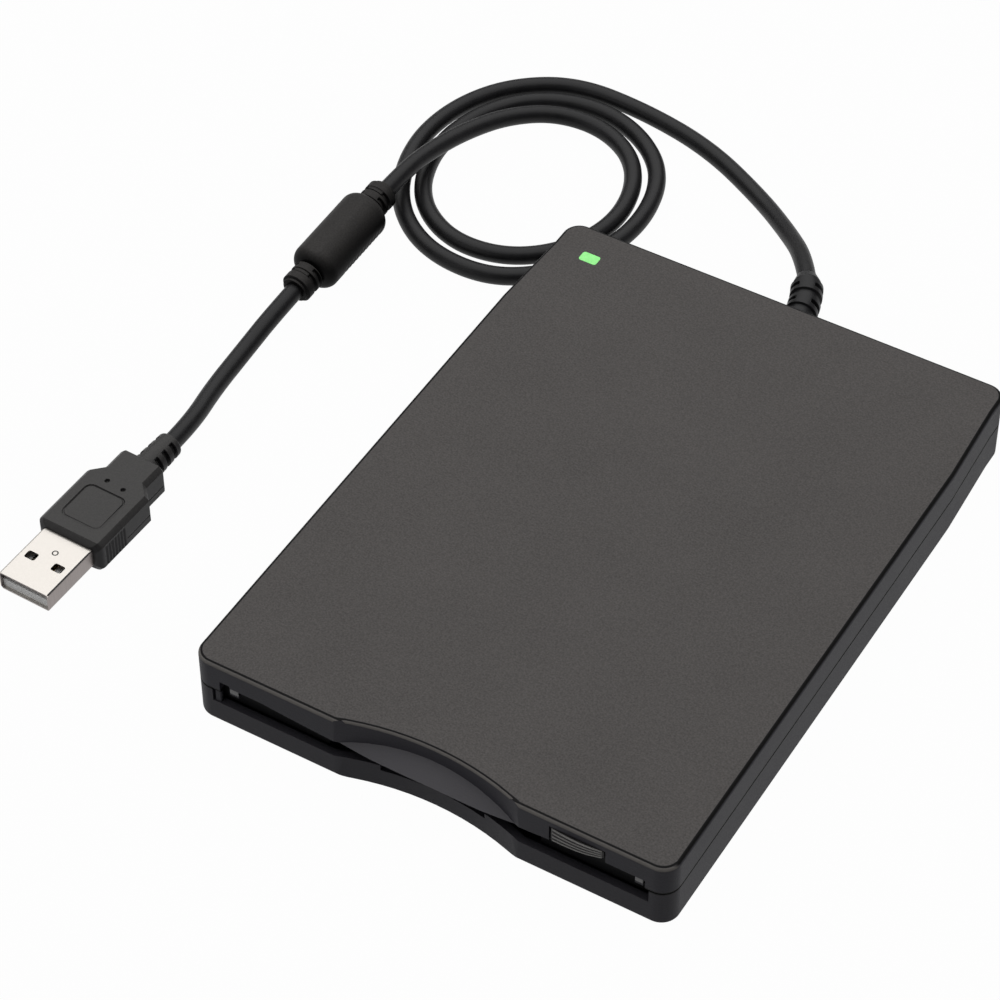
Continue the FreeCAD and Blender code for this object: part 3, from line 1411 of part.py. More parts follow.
def ring_piece(name, radius, start, sweep):
    """A piece of the boot: a bent bar round the bend's centre, between two angles."""
    made = doc.addObject("Part::Torus", name)
    made.Placement = FreeCAD.Placement(V(), FreeCAD.Rotation(V(0, 0, 1), 1))
    bind(made, "Radius1", "boot_bend")
    bind(made, "Radius2", radius)
    bind(made, "Angle3", sweep)
    bind(made, "Placement.Rotation.Angle", start)
    bind(made, "Placement.Base.x", "boot_x - boot_bend")
    bind(made, "Placement.Base.y", "rear_y")
    bind(made, "Placement.Base.z", "seam_z")
    return made


def cord_boot():
    """Flange inside the rear wall, core through it, then rings on a core that bends to the left."""
    centre = ("boot_x", "seam_z")
    pieces = [
        cylinder("boot_flange", "y", centre, "boot_flange_radius", ("flange_y", "rear_in - flange_gap")),
        cylinder("boot_neck", "y", centre, "boot_core_radius", ("flange_y", "rear_y")),
        ring_piece("boot_core", "boot_core_radius", "0", "boot_core_angle"),
    ]
    slots = []
    for i in range(int(size("boot_ring_count"))):
        start = f"boot_ring_start + {i} * (boot_ring_angle + boot_groove_angle)"
        pieces.append(ring_piece("boot_ring", "boot_ring_radius", start, "boot_ring_angle"))
        middle = f"{start} + (boot_ring_angle - boot_slot_angle) / 2"
        band = ring_piece("boot_slot_band", "boot_ring_radius + merge", middle, "boot_slot_angle")
        kept = ring_piece("boot_slot_core", "boot_core_radius - boot_slot_depth", middle, "boot_slot_angle")
        room_x = ("boot_x - boot_bend", "boot_x + boot_bend")
        room = box("boot_slot_room", room_x, ("rear_y", "rear_y + boot_bend"),
                   ("seam_z - boot_slot_half", "seam_z + boot_slot_half"))
        slots.append(common("boot_slot", cut("boot_slot_ring", band, kept), room))
    tip = doc.addObject("Part::Cone", "boot_tip")
    turn = math.radians(size("boot_core_angle"))
    along = V(-math.sin(turn), math.cos(turn), 0)
    tip.Placement = FreeCAD.Placement(V(), FreeCAD.Rotation(V(0, 0, 1), along))
    bind(tip, "Placement.Base.x", "boot_x - boot_bend * (1 - cos(boot_core_angle))")
    bind(tip, "Placement.Base.y", "rear_y + boot_bend * sin(boot_core_angle)")
    bind(tip, "Placement.Base.z", "seam_z")
    bind(tip, "Radius1", "boot_core_radius")
    bind(tip, "Radius2", "boot_tip_radius")
    bind(tip, "Height", "boot_tip_length")
    return cut("boot", fuse("boot_whole", *pieces, tip), *slots)


def bead_place():
    """The bead's middle and its direction: it sits in the middle of the cord's longest straight run."""
    runs = [(V(*first), V(*last)) for first, last in zip(ROUTE, ROUTE[1:])]
    first, last = max(runs, key=lambda run: (run[1] - run[0]).Length)
    return (first + last) / 2, (last - first).normalize()


def put_on_cord(made):
    middle, along = bead_place()
    made.Placement = FreeCAD.Placement(middle, FreeCAD.Rotation(V(0, 0, 1), along))
    return made


def bead():
    """The bead housing and its core, built upright about their middle and then put on the cord."""
    axis = ("0", "0")
    half = "bead_length / 2"
    reach = f"({half} + bead_collar_length)"
    straight = (f"-({half} - bead_round)", f"{half} - bead_round")
    pieces = [cylinder("bead_barrel", "z", axis, "bead_radius", straight)]
    for side in (-1, 1):
        rounding = doc.addObject("Part::Torus", "bead_rounding")
        bind(rounding, "Radius1", "bead_radius - bead_round")
        bind(rounding, "Radius2", "bead_round")
        bind(rounding, "Placement.Base.z", f"{side} * ({half} - bead_round)")
        pieces.append(rounding)
        ends = ("0", f"{half}") if side > 0 else (f"-({half})", "0")
        pieces.append(cylinder("bead_middle", "z", axis, "bead_radius - bead_round", ends))
        ends = ("0", reach) if side > 0 else (f"-{reach}", "0")
        pieces.append(cylinder("bead_collar", "z", axis, "bead_collar_radius - bead_collar_step", ends))
        for i in range(2):
            low = f"{half} + {i} * bead_collar_length / 2 + bead_ring_gap"
            ends = (low, f"{low} + bead_collar_length / 2 - 3 * bead_ring_gap")
            if side < 0:
                ends = (f"-({ends[1]})", f"-({ends[0]})")
            pieces.append(cylinder("bead_ring", "z", axis, "bead_collar_radius", ends))
    ends = (f"-{reach} - over", f"{reach} + over")
    bore = cylinder("bead_bore", "z", axis, "cord_radius + bead_bore_gap", ends)
    room = cylinder("bead_room", "z", axis, "core_radius + core_fit",
                    ("-(core_length / 2 + core_fit)", "core_length / 2 + core_fit"))
    node("bead_housing", put_on_cord(cut("bead_shell", fuse("bead_whole", *pieces), bore, room)))
    ends = ("-core_length / 2", "core_length / 2")
    core = tube("bead_core_tube", "z", axis, "core_radius", "cord_radius + bead_bore_gap", ends)
    node("bead_core", put_on_cord(core))


def at_plug(made):
    """Turn a piece built with the plug's front at the origin, its cord end along +Y, to where it lies."""
    made.Placement = FreeCAD.Placement(V(), FreeCAD.Rotation(V(0, 0, 1), 1))
    bind(made, "Placement.Rotation.Angle", "plug_turn")
    bind(made, "Placement.Base.x", "plug_front_x")
    bind(made, "Placement.Base.y", "plug_front_y")
    return made


def plug_grip():
    wide = "grip_width / 2"
    slim = "neck_width / 2"
    shoulder = "grip_length + shoulder_length"
    right = [(wide, "0"), (wide, "grip_length"), (slim, shoulder), (slim, "neck_end")]
    left = [(f"-{x}", y) for x, y in reversed(right)]
    body = outline("grip_body", "XY", right + left, ("0", "grip_height"))
    fillet(body, "grip_round", lambda edge, bounds: is_top_edge(edge, bounds) or is_bottom_edge(edge, bounds))
    middle = ("0", "grip_height / 2")
    end = "neck_end + relief_length"
    radii = ("relief_radius - relief_step", "relief_tip_radius - relief_step")
    relief = cone("relief_body", "y", middle, radii, ("neck_end - relief_step", end))
    rings = []
    for i in range(int(size("relief_ring_count"))):
        low = f"neck_end + relief_step + {i} * relief_length / relief_ring_count"
        radius = f"relief_radius - {i} * (relief_radius - relief_tip_radius) / relief_ring_count"
        rings.append(cylinder("relief_band", "y", middle, radius, (low, f"{low} + relief_ring")))
    line_out = ("-groove_width / 2", "groove_width / 2")
    line_in = ("-groove_width / 2 + groove_line", "groove_width / 2 - groove_line")
    low = "groove_start"
    high = "groove_start + groove_length"
    z = ("grip_height - groove_sink", "grip_height + over")
    groove = cut("panel_line", box("panel_outer", line_out, (low, high), z),
                 box("panel_inner", line_in, (f"{low} + groove_line", f"{high} - groove_line"), z))
    return at_plug(cut("grip", fuse("grip_whole", body, relief, *rings), groove))


def plug_shell():
    """The metal shell, open at its front, with two latch holes on each broad side."""
    middle = "grip_height / 2"
    outer = box("shell_outer", ("-shell_width / 2", "shell_width / 2"), ("-shell_length", "0"),
                (f"{middle} - shell_height / 2", f"{middle} + shell_height / 2"))
    inner = box("shell_inner", ("-shell_width / 2 + shell_wall", "shell_width / 2 - shell_wall"),
                ("-shell_length - over", "-shell_wall"),
                (f"{middle} - shell_height / 2 + shell_wall", f"{middle} + shell_height / 2 - shell_wall"))
    holes = []
    for side in (-1, 1):
        x = (f"{side} * latch_hole_x - latch_hole_width / 2", f"{side} * latch_hole_x + latch_hole_width / 2")
        y = ("-latch_hole_back - latch_hole_length", "-latch_hole_back")
        z = (f"{middle} - shell_height", f"{middle} + shell_height")
        holes.append(box("latch_hole", x, y, z))
    return at_plug(cut("shell", outer, inner, *holes))


def plug():
    node("plug_grip", plug_grip())
    node("plug_shell", plug_shell())
    low = "grip_height / 2 - shell_height / 2 + shell_wall"
    tongue_x = ("-shell_width / 2 + shell_wall", "shell_width / 2 - shell_wall")
    top = f"{low} + tongue_thick"
    tongue = box("insulator", tongue_x, ("-shell_length + tongue_back", "-shell_wall"), (low, top))
    node("plug_tongue", at_plug(group("insulator_set", [tongue])))
    start = "-shell_length + tongue_back + contact_back"
    strips = []
    for x in ("-contact_outer", "-contact_inner", "contact_inner", "contact_outer"):
        strips.append(box("contact", (f"{x} - contact_width / 2", f"{x} + contact_width / 2"),
                          (start, f"{start} + contact_length"), (top, f"{top} + contact_thick")))
    node("plug_contacts", at_plug(group("contact_set", strips)))


def cord():
    node("cord_boot", cord_boot())
    node("usb_cord", usb_cord())
    bead()
    plug()


# ---------------------------------------------------------------- build and export

housing()
doors()
node("eject_button", eject_button())
drive_frame()
spindle_motor()
heads()
electronics()
cord()
doc.recompute()

faults = [f"{thing.Name} {thing.State}" for thing in doc.Objects if {"Invalid", "Error"} & set(thing.State)]
for name, thing in NODES.items():
    if thing.Shape.isNull() or not thing.Shape.isValid():
        faults.append(f"{name} has no valid shape")
if faults:
    raise RuntimeError("; ".join(faults))

os.makedirs("parts", exist_ok=True)
for name, thing in NODES.items():
    thing.Shape.exportStep(f"parts/{name}.step")
print(len(NODES), "sub-parts")
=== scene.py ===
import math

import bmesh
import bpy
import numpy as np
from mathutils import Matrix, Vector


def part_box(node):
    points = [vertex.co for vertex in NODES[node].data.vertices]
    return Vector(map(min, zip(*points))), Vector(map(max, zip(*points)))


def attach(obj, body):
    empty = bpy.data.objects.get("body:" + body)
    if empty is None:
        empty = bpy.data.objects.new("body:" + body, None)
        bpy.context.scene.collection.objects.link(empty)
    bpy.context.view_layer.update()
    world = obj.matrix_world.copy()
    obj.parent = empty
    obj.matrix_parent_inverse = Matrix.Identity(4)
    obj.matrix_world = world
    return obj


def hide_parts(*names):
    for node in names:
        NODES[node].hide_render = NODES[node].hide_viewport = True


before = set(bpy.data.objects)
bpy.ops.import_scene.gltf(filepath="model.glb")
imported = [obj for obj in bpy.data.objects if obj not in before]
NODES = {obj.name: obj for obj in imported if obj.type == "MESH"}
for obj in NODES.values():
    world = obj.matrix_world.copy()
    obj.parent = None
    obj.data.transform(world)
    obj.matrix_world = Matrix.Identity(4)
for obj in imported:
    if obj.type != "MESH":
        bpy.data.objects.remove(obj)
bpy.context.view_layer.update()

MM = 0.001
SCENE = bpy.context.scene
TURN = 2 * math.pi

# main places of the drive, in millimetres, as the CAD has them
FRONT_Y = -71.0
REAR_Y = 71.0
CASE_TOP = 17.0
SEAM_Z = 9.8
RECESS_Y = -67.5
RECESS_RADIUS = 58.8929
RECESS_HALF = 20.5
LIP_RADIUS = 341.9974
BOOT_X = 1.6
BOOT_BEND = 30.0
PLUG_FRONT = (-95.3, -50.6)
PLUG_TURN = math.radians(-2)
CORD_DIAMETER = 4.0
CORD_EXIT = (-2.94, 87.03, 9.8)
BEAD_START = (-94.7, 73.0, 8.7)
BEAD_FINISH = (-96.85, 27.2, 4.4)


def add_object(name, data):
    made = bpy.data.objects.new(name, data)
    SCENE.collection.objects.link(made)
    return made


# -------- camera

AZIMUTH = math.radians(30.97)
ELEVATION = math.radians(46.24)
ROLL = math.radians(-0.33)
TARGET = Vector((-29.84, 6.10, 0.8))
DISTANCE = 725.13
SENSOR = 36
FOCAL_LENGTH = 129.78
CLIP = (0.01, 50)


def place_camera():
    """Camera on a sphere round the target: back points from the target to the lens."""
    flat = math.cos(ELEVATION)
    back = Vector((math.sin(AZIMUTH) * flat, -math.cos(AZIMUTH) * flat, math.sin(ELEVATION)))
    level_right = Vector((math.cos(AZIMUTH), math.sin(AZIMUTH), 0))
    level_up = back.cross(level_right)
    right = level_right * math.cos(ROLL) + level_up * math.sin(ROLL)
    up = level_up * math.cos(ROLL) - level_right * math.sin(ROLL)
    place = (TARGET + back * DISTANCE) * MM
    lens = bpy.data.cameras.new("front_camera")
    lens.sensor_width = SENSOR
    lens.lens = FOCAL_LENGTH
    lens.clip_start, lens.clip_end = CLIP
    camera = add_object("front_camera", lens)
    camera.matrix_world = Matrix((
        (right.x, up.x, back.x, place.x),
        (right.y, up.y, back.y, place.y),
        (right.z, up.z, back.z, place.z),
        (0, 0, 0, 1),
    ))
    SCENE.camera = camera


# -------- cord

CORD_ROUTE = (
    CORD_EXIT, (-7.0, 93.4, 8.7), (-14.6, 101.8, 5.2), (-26.5, 112.0, 2.0), (-44.0, 121.0, 2.0),
    (-62.5, 125.0, 2.0), (-80.5, 125.4, 2.0), (-93.5, 117.0, 2.0), (-100.6, 104.0, 2.0), (-101.6, 88.0, 2.0),
    (-95.0, 71.6, 2.0), (-82.5, 61.5, 2.0), (-67.0, 59.8, 2.0), (-55.8, 66.0, 2.0), (-48.4, 77.6, 2.0),
    (-45.2, 91.8, 2.0), (-48.6, 107.0, 2.0), (-58.2, 116.6, 2.0), (-71.5, 121.0, 2.0), (-85.5, 117.0, 2.0),
    (-94.4, 106.0, 2.0), (-97.0, 90.5, 2.0), (-91.6, 75.0, 2.0), (-79.2, 66.4, 2.0), (-65.4, 67.2, 2.0),
    (-55.0, 75.7, 2.0), (-50.2, 88.5, 2.0), (-52.0, 101.0, 2.0), (-58.2, 110.4, 2.0), (-68.4, 115.2, 2.2),
    (-78.9, 112.8, 3.6), (-86.3, 104.6, 5.5), (-90.8, 94.6, 6.8), (-93.6, 84.5, 7.6), BEAD_START,
    BEAD_FINISH, (-97.3, 14.5, 2.1), (-96.6, 2.5, 2.0), (-94.2, -9.0, 3.3), (-94.1, -16.5, 3.8),
)


def lay_cord():
    """The cord: one smooth NURBS line through the route, with a round section.

    Its radius sits on the points, with a bevel of 1, so that the box round the line comes out right too."""
    line = bpy.data.curves.new("usb_lead", "CURVE")
    line.dimensions = "3D"
    spline = line.splines.new("NURBS")
    spline.points.add(len(CORD_ROUTE) - 1)
    for point, place in zip(spline.points, CORD_ROUTE):
        point.co = (place[0] * MM, place[1] * MM, place[2] * MM, 1)
        point.radius = CORD_DIAMETER / 2 * MM
    spline.order_u = 3
    spline.use_endpoint_u = True
    spline.use_smooth = True
    line.resolution_u = 14
    line.bevel_depth = 1.0
    line.bevel_resolution = 7
    line.use_fill_caps = True
    lead = add_object("usb_lead", line)
    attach(lead, "housing")
    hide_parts("usb_cord")
    return lead


# -------- nodes of a finish


def feed(socket, value):
    """Give a socket its value: the output of another node, or a plain number or colour."""
    if isinstance(value, bpy.types.NodeSocket):
        socket.id_data.links.new(value, socket)
    else:
        socket.default_value = value


def add_node(tree, kind, **values):
    """A new shader node; each value goes to the input of its name, where _ stands for a space."""
    node = tree.nodes.new("ShaderNode" + kind)
    for name, value in values.items():
        feed(node.inputs[name.replace("_", " ")], value)
    return node


def mixed(tree, factor, a, b, kind="RGBA"):
    """Output that runs from a to b with the factor; kind is RGBA for colours and FLOAT for numbers."""
    node = tree.nodes.new("ShaderNodeMix")
    node.data_type = kind
    for name, value in (("Factor", factor), ("A", a), ("B", b)):
        feed(node.inputs[name], value)
    return node.outputs["Result"]


def maths(tree, operation, *values):
    """Output of one sum on two or three values."""
    node = tree.nodes.new("ShaderNodeMath")
    node.operation = operation
    for socket, value in zip(node.inputs, values):
        feed(socket, value)
    return node.outputs["Value"]


def product(tree, *masks):
    """Output of several masks multiplied with each other."""
    joint = masks[0]
    for mask in masks[1:]:
        joint = maths(tree, "MULTIPLY", joint, mask)
    return joint


def ranged(tree, value, low, high, at_low=0.0, at_high=1.0):
    """Output that runs from at_low to at_high while value runs from low to high."""
    ends = {"From_Min": low, "From_Max": high, "To_Min": at_low, "To_Max": at_high}
    return add_node(tree, "MapRange", Value=value, **ends).outputs["Result"]


def noise(tree, place, scale, **values):
    return add_node(tree, "TexNoise", Vector=place, Scale=scale, **values).outputs["Fac"]


def axes(tree, vector):
    """X, Y and Z of a vector, as outputs by name."""
    return add_node(tree, "SeparateXYZ", Vector=vector).outputs


SKIN_SOCKETS = {
    "INPUT": (("Place", "Vector"), ("Fine", "Float"), ("Broad", "Float"), ("Dark", "Color"),
              ("Light", "Color"), ("Smoothest", "Float"), ("Roughest", "Float")),
    "OUTPUT": (("Colour", "Color"), ("Roughness", "Float"), ("Height", "Float")),
}
SPECK = (0.3, 0.7)
BROAD_SHARE = 0.3


def make_grain_group():
    """Moulded skin: fine noise for the surface height, a slower noise for shade, both from one place."""
    group = bpy.data.node_groups.new("moulded_grain", "ShaderNodeTree")
    for way, sockets in SKIN_SOCKETS.items():
        for name, kind in sockets:
            group.interface.new_socket(name=name, in_out=way, socket_type="NodeSocket" + kind)
    entry = group.nodes.new("NodeGroupInput").outputs
    leave = group.nodes.new("NodeGroupOutput").inputs
    fine = noise(group, entry["Place"], entry["Fine"], Detail=2.0, Roughness=0.6)
    broad = noise(group, entry["Place"], entry["Broad"], Detail=4.0)
    both = mixed(group, BROAD_SHARE, ranged(group, fine, *SPECK), broad, "FLOAT")
    feed(leave["Colour"], mixed(group, both, entry["Dark"], entry["Light"]))
    feed(leave["Roughness"], ranged(group, both, 0.0, 1.0, entry["Smoothest"], entry["Roughest"]))
    feed(leave["Height"], fine)
    return group


GRAIN = make_grain_group()


def add_skin(tree, place, dark, light, rough, fine, broad):
    """Outputs of the moulded skin; rough is how rough it is at its smoothest and at its roughest."""
    skin = tree.nodes.new("ShaderNodeGroup")
    skin.node_tree = GRAIN
    values = (place["Object"], fine, broad, (*dark, 1), (*light, 1), *rough)
    for (name, _), value in zip(SKIN_SOCKETS["INPUT"], values):
        feed(skin.inputs[name], value)
    return skin.outputs


def raise_surface(tree, shader, height, strength, depth):
    """Bumps of a depth in millimetres."""
    raised = add_node(tree, "Bump", Strength=strength, Distance=depth * MM, Height=height)
    feed(shader["Normal"], raised.outputs["Normal"])


def blank_material(name):
    """A material with nothing but the socket that its surface comes in by."""
    material = bpy.data.materials.new(name)
    material.use_nodes = True
    tree = material.node_tree
    tree.nodes.clear()
    return material, tree, tree.nodes.new("ShaderNodeOutputMaterial").inputs["Surface"]


def start_material(name):
    """A material with one shader, the shader's inputs, and the outputs that give place and direction."""
    material, tree, surface_socket = blank_material(name)
    shader = add_node(tree, "BsdfPrincipled")
    feed(surface_socket, shader.outputs["BSDF"])
    return material, tree, shader.inputs, add_node(tree, "TexCoord").outputs


# -------- finishes

# how far a face may look up, as the height of its direction, while it takes a finish's painted shade colour
# for its sides
SHADED_SIDE_BAND = (0.2, 0.85)


def grained(name, dark, light, rough, fine, broad, bump, depth, side=None, **sockets):
    """A finish with the moulded skin; sockets are plain values of the shader.

    side is a painted shade colour that the faces turn to as they face away from the top."""
    material, tree, shader, place = start_material(name)
    skin = add_skin(tree, place, dark, light, rough, fine, broad)
    colour = skin["Colour"]
    if side:
        # faces turned away from the top: painted shade
        shade_share = ranged(tree, axes(tree, place["Normal"])["Z"], *SHADED_SIDE_BAND, 1.0, 0.0)
        colour = mixed(tree, shade_share, colour, (*side, 1))
    feed(shader["Base Color"], colour)
    feed(shader["Roughness"], skin["Roughness"])
    raise_surface(tree, shader, skin["Height"], bump, depth)
    for socket, value in sockets.items():
        shader[socket.replace("_", " ")].default_value = value
    return material


COVER_SKIN = ((0.42, 0.6), 2600, 55)
# painted light on the finger ramp
RAMP_LIGHT_COLOUR = (0.080, 0.0775, 0.084, 1)
# painted highlight along the front's rounded top edge
HIGHLIGHT_COLOUR = (0.115, 0.108, 0.102, 1)
# painted dark reflection where the top turns into its rounded edge
DARK_REFLECTION_COLOUR = (0.002, 0.0018, 0.0017, 1)
# painted shadow in the seam's gap, and its half height
SEAM_SHADOW_COLOUR = (0.002, 0.002, 0.002, 1)
SEAM_SHADOW_HALF = 0.42
# heights in mm under which the finger ramp's painted light lies, and between which the painted highlight and
# painted dark reflection line of the top edge begin to show
RAMP_BAND = (14.0, 14.5)
TOP_BAND = (15.6, 15.9)


def shell_finish(name, dark, light, shaded_side_dark, shaded_side_light):
    """Cover: grained flats with painted light laid over them. The sides take darker, cooler colours than the
    top as painted shade, the finger ramp is lighter as painted light, a painted dark reflection line runs
    where the top turns into its rounded edge, a painted highlight line runs further down that edge at the
    front, and a black painted shadow line runs along the seam.

    All but the seam shadow is found from the surface's direction: how far it looks up and how far to the
    rear."""
    material, tree, shader, place = start_material(name)
    top_skin = add_skin(tree, place, dark, light, *COVER_SKIN)
    # the sides' darker, cooler colours are painted shade
    shaded_side_skin = add_skin(tree, place, shaded_side_dark, shaded_side_light, *COVER_SKIN)
    facing = axes(tree, place["Normal"])
    up, rear = facing["Z"], facing["Y"]
    height = axes(tree, place["Object"])["Z"]
    near_top = ranged(tree, height, *(z * MM for z in TOP_BAND))
    low_down = ranged(tree, height, *(z * MM for z in RAMP_BAND), 1.0, 0.0)
    # finger ramp: painted light
    lit_ramp_mask = product(tree, ranged(tree, up, 0.6, 0.7), ranged(tree, up, 0.8, 0.85, 1.0, 0.0), low_down)
    # painted highlight line on the front's top edge
    highlight_line = product(tree, ranged(tree, up, 0.86, 0.78), ranged(tree, up, 0.08, 0.35),
                  ranged(tree, rear, -0.35, -0.1, 1.0, 0.0), near_top)
    # painted dark reflection line along the top edge
    dark_reflection_behind = product(tree, ranged(tree, up, 0.45, 0.6), ranged(tree, rear, -0.1, -0.35, 1.0, 0.0))
    dark_reflection = product(tree, maths(tree, "MAXIMUM", dark_reflection_behind, ranged(tree, up, 0.80, 0.88)),
                  ranged(tree, up, 0.975, 0.99, 1.0, 0.0), near_top)
    # painted shadow along the seam
    seam_shadow = maths(tree, "COMPARE", height, SEAM_Z * MM, SEAM_SHADOW_HALF * MM)
    # sides darker and cooler than the top: painted shade
    colour = mixed(tree, ranged(tree, up, 0.982, 0.996), shaded_side_skin["Colour"], top_skin["Colour"])
    # painted light and shade laid over the grain: ramp light, highlight, dark reflection, seam shadow
    for mask, paint in ((lit_ramp_mask, RAMP_LIGHT_COLOUR), (highlight_line, HIGHLIGHT_COLOUR), (dark_reflection, DARK_REFLECTION_COLOUR), (seam_shadow, SEAM_SHADOW_COLOUR)):
        colour = mixed(tree, mask, colour, paint)
    feed(shader["Base Color"], colour)
    feed(shader["Roughness"], top_skin["Roughness"])
    raise_surface(tree, shader, top_skin["Height"], 0.5, 0.06)
    shader["Specular IOR Level"].default_value = 0.1
    return material


def plated(name, flat, side):
    """Plated sheet: bright on its broad faces, brushed upright on its narrow sides, whose darker colour is a
    painted dark reflection.
    """
    material, tree, shader, place = start_material(name)
    upright = add_node(tree, "Mapping", Vector=place["Object"], Scale=(1, 1, 0.04)).outputs["Vector"]
    brush = noise(tree, upright, 2600)
    streak = mixed(tree, brush, (*[c * 0.8 for c in side], 1), (*[c * 1.2 for c in side], 1))
    # narrow sides take the darker colour: painted dark reflection
    broad_face = ranged(tree, axes(tree, place["Normal"])["Z"], 0.5, 0.8)
    feed(shader["Base Color"], mixed(tree, broad_face, streak, (*flat, 1)))
    feed(shader["Roughness"], ranged(tree, brush, 0.0, 1.0, 0.3, 0.42))
    shader["Metallic"].default_value = 1.0
    return material


# darker, cooler colours of the covers' sides, painted shade; the lower cover takes them all over
SHELL_SHADED_SIDE = (0.0198, 0.019, 0.0225), (0.0316, 0.0303, 0.036)
METAL = {"Metallic": 1.0}
# grained finishes: dark and light colour, smoothest and roughest, scales of the fine and the broad grain,
# strength of the bumps and their depth in mm, then other values of the shader, if any
GRAINED = {
    "button": ((0.012, 0.0115, 0.011), (0.018, 0.0172, 0.0165), (0.4, 0.5), 2600, 80, 0.2, 0.03,
               {"Specular_IOR_Level": 0.15}),
    # ridge: light colour of the button's ridges, a painted highlight on their lit tops
    "ridge": ((0.13, 0.125, 0.12), (0.17, 0.164, 0.157), (0.4, 0.5), 2600, 80, 0.2, 0.03),
    # door: the wings' own black plastic, darkened further to near black as painted shade inside the slot
    "door": ((0.006, 0.006, 0.0064), (0.010, 0.010, 0.0106), (0.4, 0.5), 3000, 70, 0.2, 0.03,
             {"Specular_IOR_Level": 0.04}),
    "lens": ((0.14, 0.54, 0.12), (0.21, 0.67, 0.18), (0.12, 0.2), 900, 200, 0.05, 0.02,
             {"Emission_Color": (0.22, 0.80, 0.20, 1), "Emission_Strength": 0.18}),
    "clear": ((0.72, 0.80, 0.74), (0.82, 0.88, 0.84), (0.08, 0.14), 900, 100, 0.02, 0.02),
    # light colour of the slot's lugs, a painted glint on their tops
    "lug": ((0.07, 0.068, 0.068), (0.10, 0.098, 0.098), (0.4, 0.5), 2600, 80, 0.2, 0.03),
    "rubber": ((0.014, 0.014, 0.014), (0.026, 0.026, 0.026), (0.62, 0.8), 1800, 90, 0.35, 0.05),
    "cord_black": ((0.005, 0.0049, 0.0054), (0.0092, 0.009, 0.0098), (0.4, 0.46), 500, 45, 0.03, 0.02,
                   {"Specular_IOR_Level": 0.22}),
    # side: painted shade on the grip's faces turned away from the top
    "plug_black": ((0.024, 0.023, 0.0222), (0.043, 0.0415, 0.0405), (0.38, 0.5), 2600, 60, 0.25, 0.04,
                   {"side": (0.0105, 0.0100, 0.0112), "Specular_IOR_Level": 0.18}),
    # side: painted shade on the bead's lower side
    "bead_black": ((0.022, 0.021, 0.0203), (0.039, 0.0371, 0.036), (0.42, 0.52), 2600, 60, 0.25, 0.04,
                   {"side": (0.004, 0.0039, 0.004), "Specular_IOR_Level": 0.05}),
    "screw_steel": ((0.40, 0.39, 0.37), (0.55, 0.54, 0.51), (0.28, 0.4), 1800, 150, 0.1, 0.02, METAL),
    "sheet_steel": ((0.38, 0.38, 0.37), (0.47, 0.47, 0.46), (0.3, 0.44), 1200, 60, 0.06, 0.02, METAL),
    "spring_steel": ((0.36, 0.36, 0.37), (0.46, 0.46, 0.47), (0.22, 0.34), 1500, 120, 0.05, 0.02, METAL),
    "cast": ((0.38, 0.38, 0.38), (0.48, 0.48, 0.48), (0.45, 0.6), 1500, 80, 0.3, 0.05, METAL),
    "magnet": ((0.08, 0.08, 0.09), (0.12, 0.12, 0.13), (0.5, 0.65), 2200, 90, 0.2, 0.04, {"Metallic": 0.6}),
    "copper": ((0.50, 0.20, 0.08), (0.62, 0.30, 0.14), (0.25, 0.4), 2600, 300, 0.4, 0.05, METAL),
    "bearing_brass": ((0.55, 0.40, 0.17), (0.66, 0.50, 0.24), (0.26, 0.36), 1500, 100, 0.06, 0.02, METAL),
    "head_ceramic": ((0.64, 0.62, 0.56), (0.74, 0.72, 0.66), (0.2, 0.3), 1500, 100, 0.05, 0.02),
    "black_plastic": ((0.020, 0.020, 0.022), (0.030, 0.030, 0.032), (0.42, 0.55), 2400, 70, 0.25, 0.04),
    "board_green": ((0.015, 0.10, 0.04), (0.025, 0.15, 0.065), (0.25, 0.4), 900, 220, 0.15, 0.04),
    "chip_black": ((0.012, 0.012, 0.013), (0.02, 0.02, 0.021), (0.5, 0.62), 3200, 120, 0.2, 0.03),
    # dark colour of the fold line and the stamped ring: painted shade of their creases
    "fold": ((0.006, 0.0054, 0.005), (0.01, 0.009, 0.0086), (0.4, 0.5), 1500, 80, 0.1, 0.02),
    "contact_gold": ((0.76, 0.55, 0.20), (0.86, 0.66, 0.30), (0.2, 0.3), 1500, 100, 0.05, 0.02, METAL),
    "insulator": ((0.80, 0.80, 0.79), (0.88, 0.88, 0.87), (0.4, 0.5), 2400, 100, 0.15, 0.03),
    "wire_mix": ((0.24, 0.04, 0.04), (0.36, 0.07, 0.06), (0.3, 0.4), 1500, 100, 0.05, 0.02),
    "ferrite": ((0.05, 0.05, 0.055), (0.075, 0.075, 0.08), (0.45, 0.6), 2200, 90, 0.3, 0.05),
    "polyester": ((0.62, 0.38, 0.09), (0.74, 0.48, 0.14), (0.2, 0.3), 900, 100, 0.05, 0.02),
}


def make_finishes():
    """One finish for each material slot of the record, and a few of the scene alone."""
    made = {
        "shell_top": shell_finish("shell_top", (0.038, 0.0351, 0.0338), (0.082, 0.0765, 0.0736),
                                  # side colours of the upper cover, darker and cooler than its top: painted
                                  # shade
                                  (0.0193, 0.0185, 0.0225), (0.0316, 0.0303, 0.037)),
        "shell_base": shell_finish("shell_base", *SHELL_SHADED_SIDE, *SHELL_SHADED_SIDE),
        # plug_nickel: broad faces bright, narrow sides darker as painted dark reflection
        "plug_nickel": plated("plug_nickel", (0.48, 0.455, 0.425), (0.28, 0.25, 0.24)),
    }
    for name, row in GRAINED.items():
        values, others = row[:7], row[7:]
        made[name] = grained(name, *values, **(others[0] if others else {}))
    return made


FINISHES = make_finishes()


def dress_nodes():
    """Every CAD node gets the finish of its record slot."""
    for node in NODES.values():
        for slot in node.material_slots:
            slot.material = FINISHES[slot.material.name.split(".")[0]]


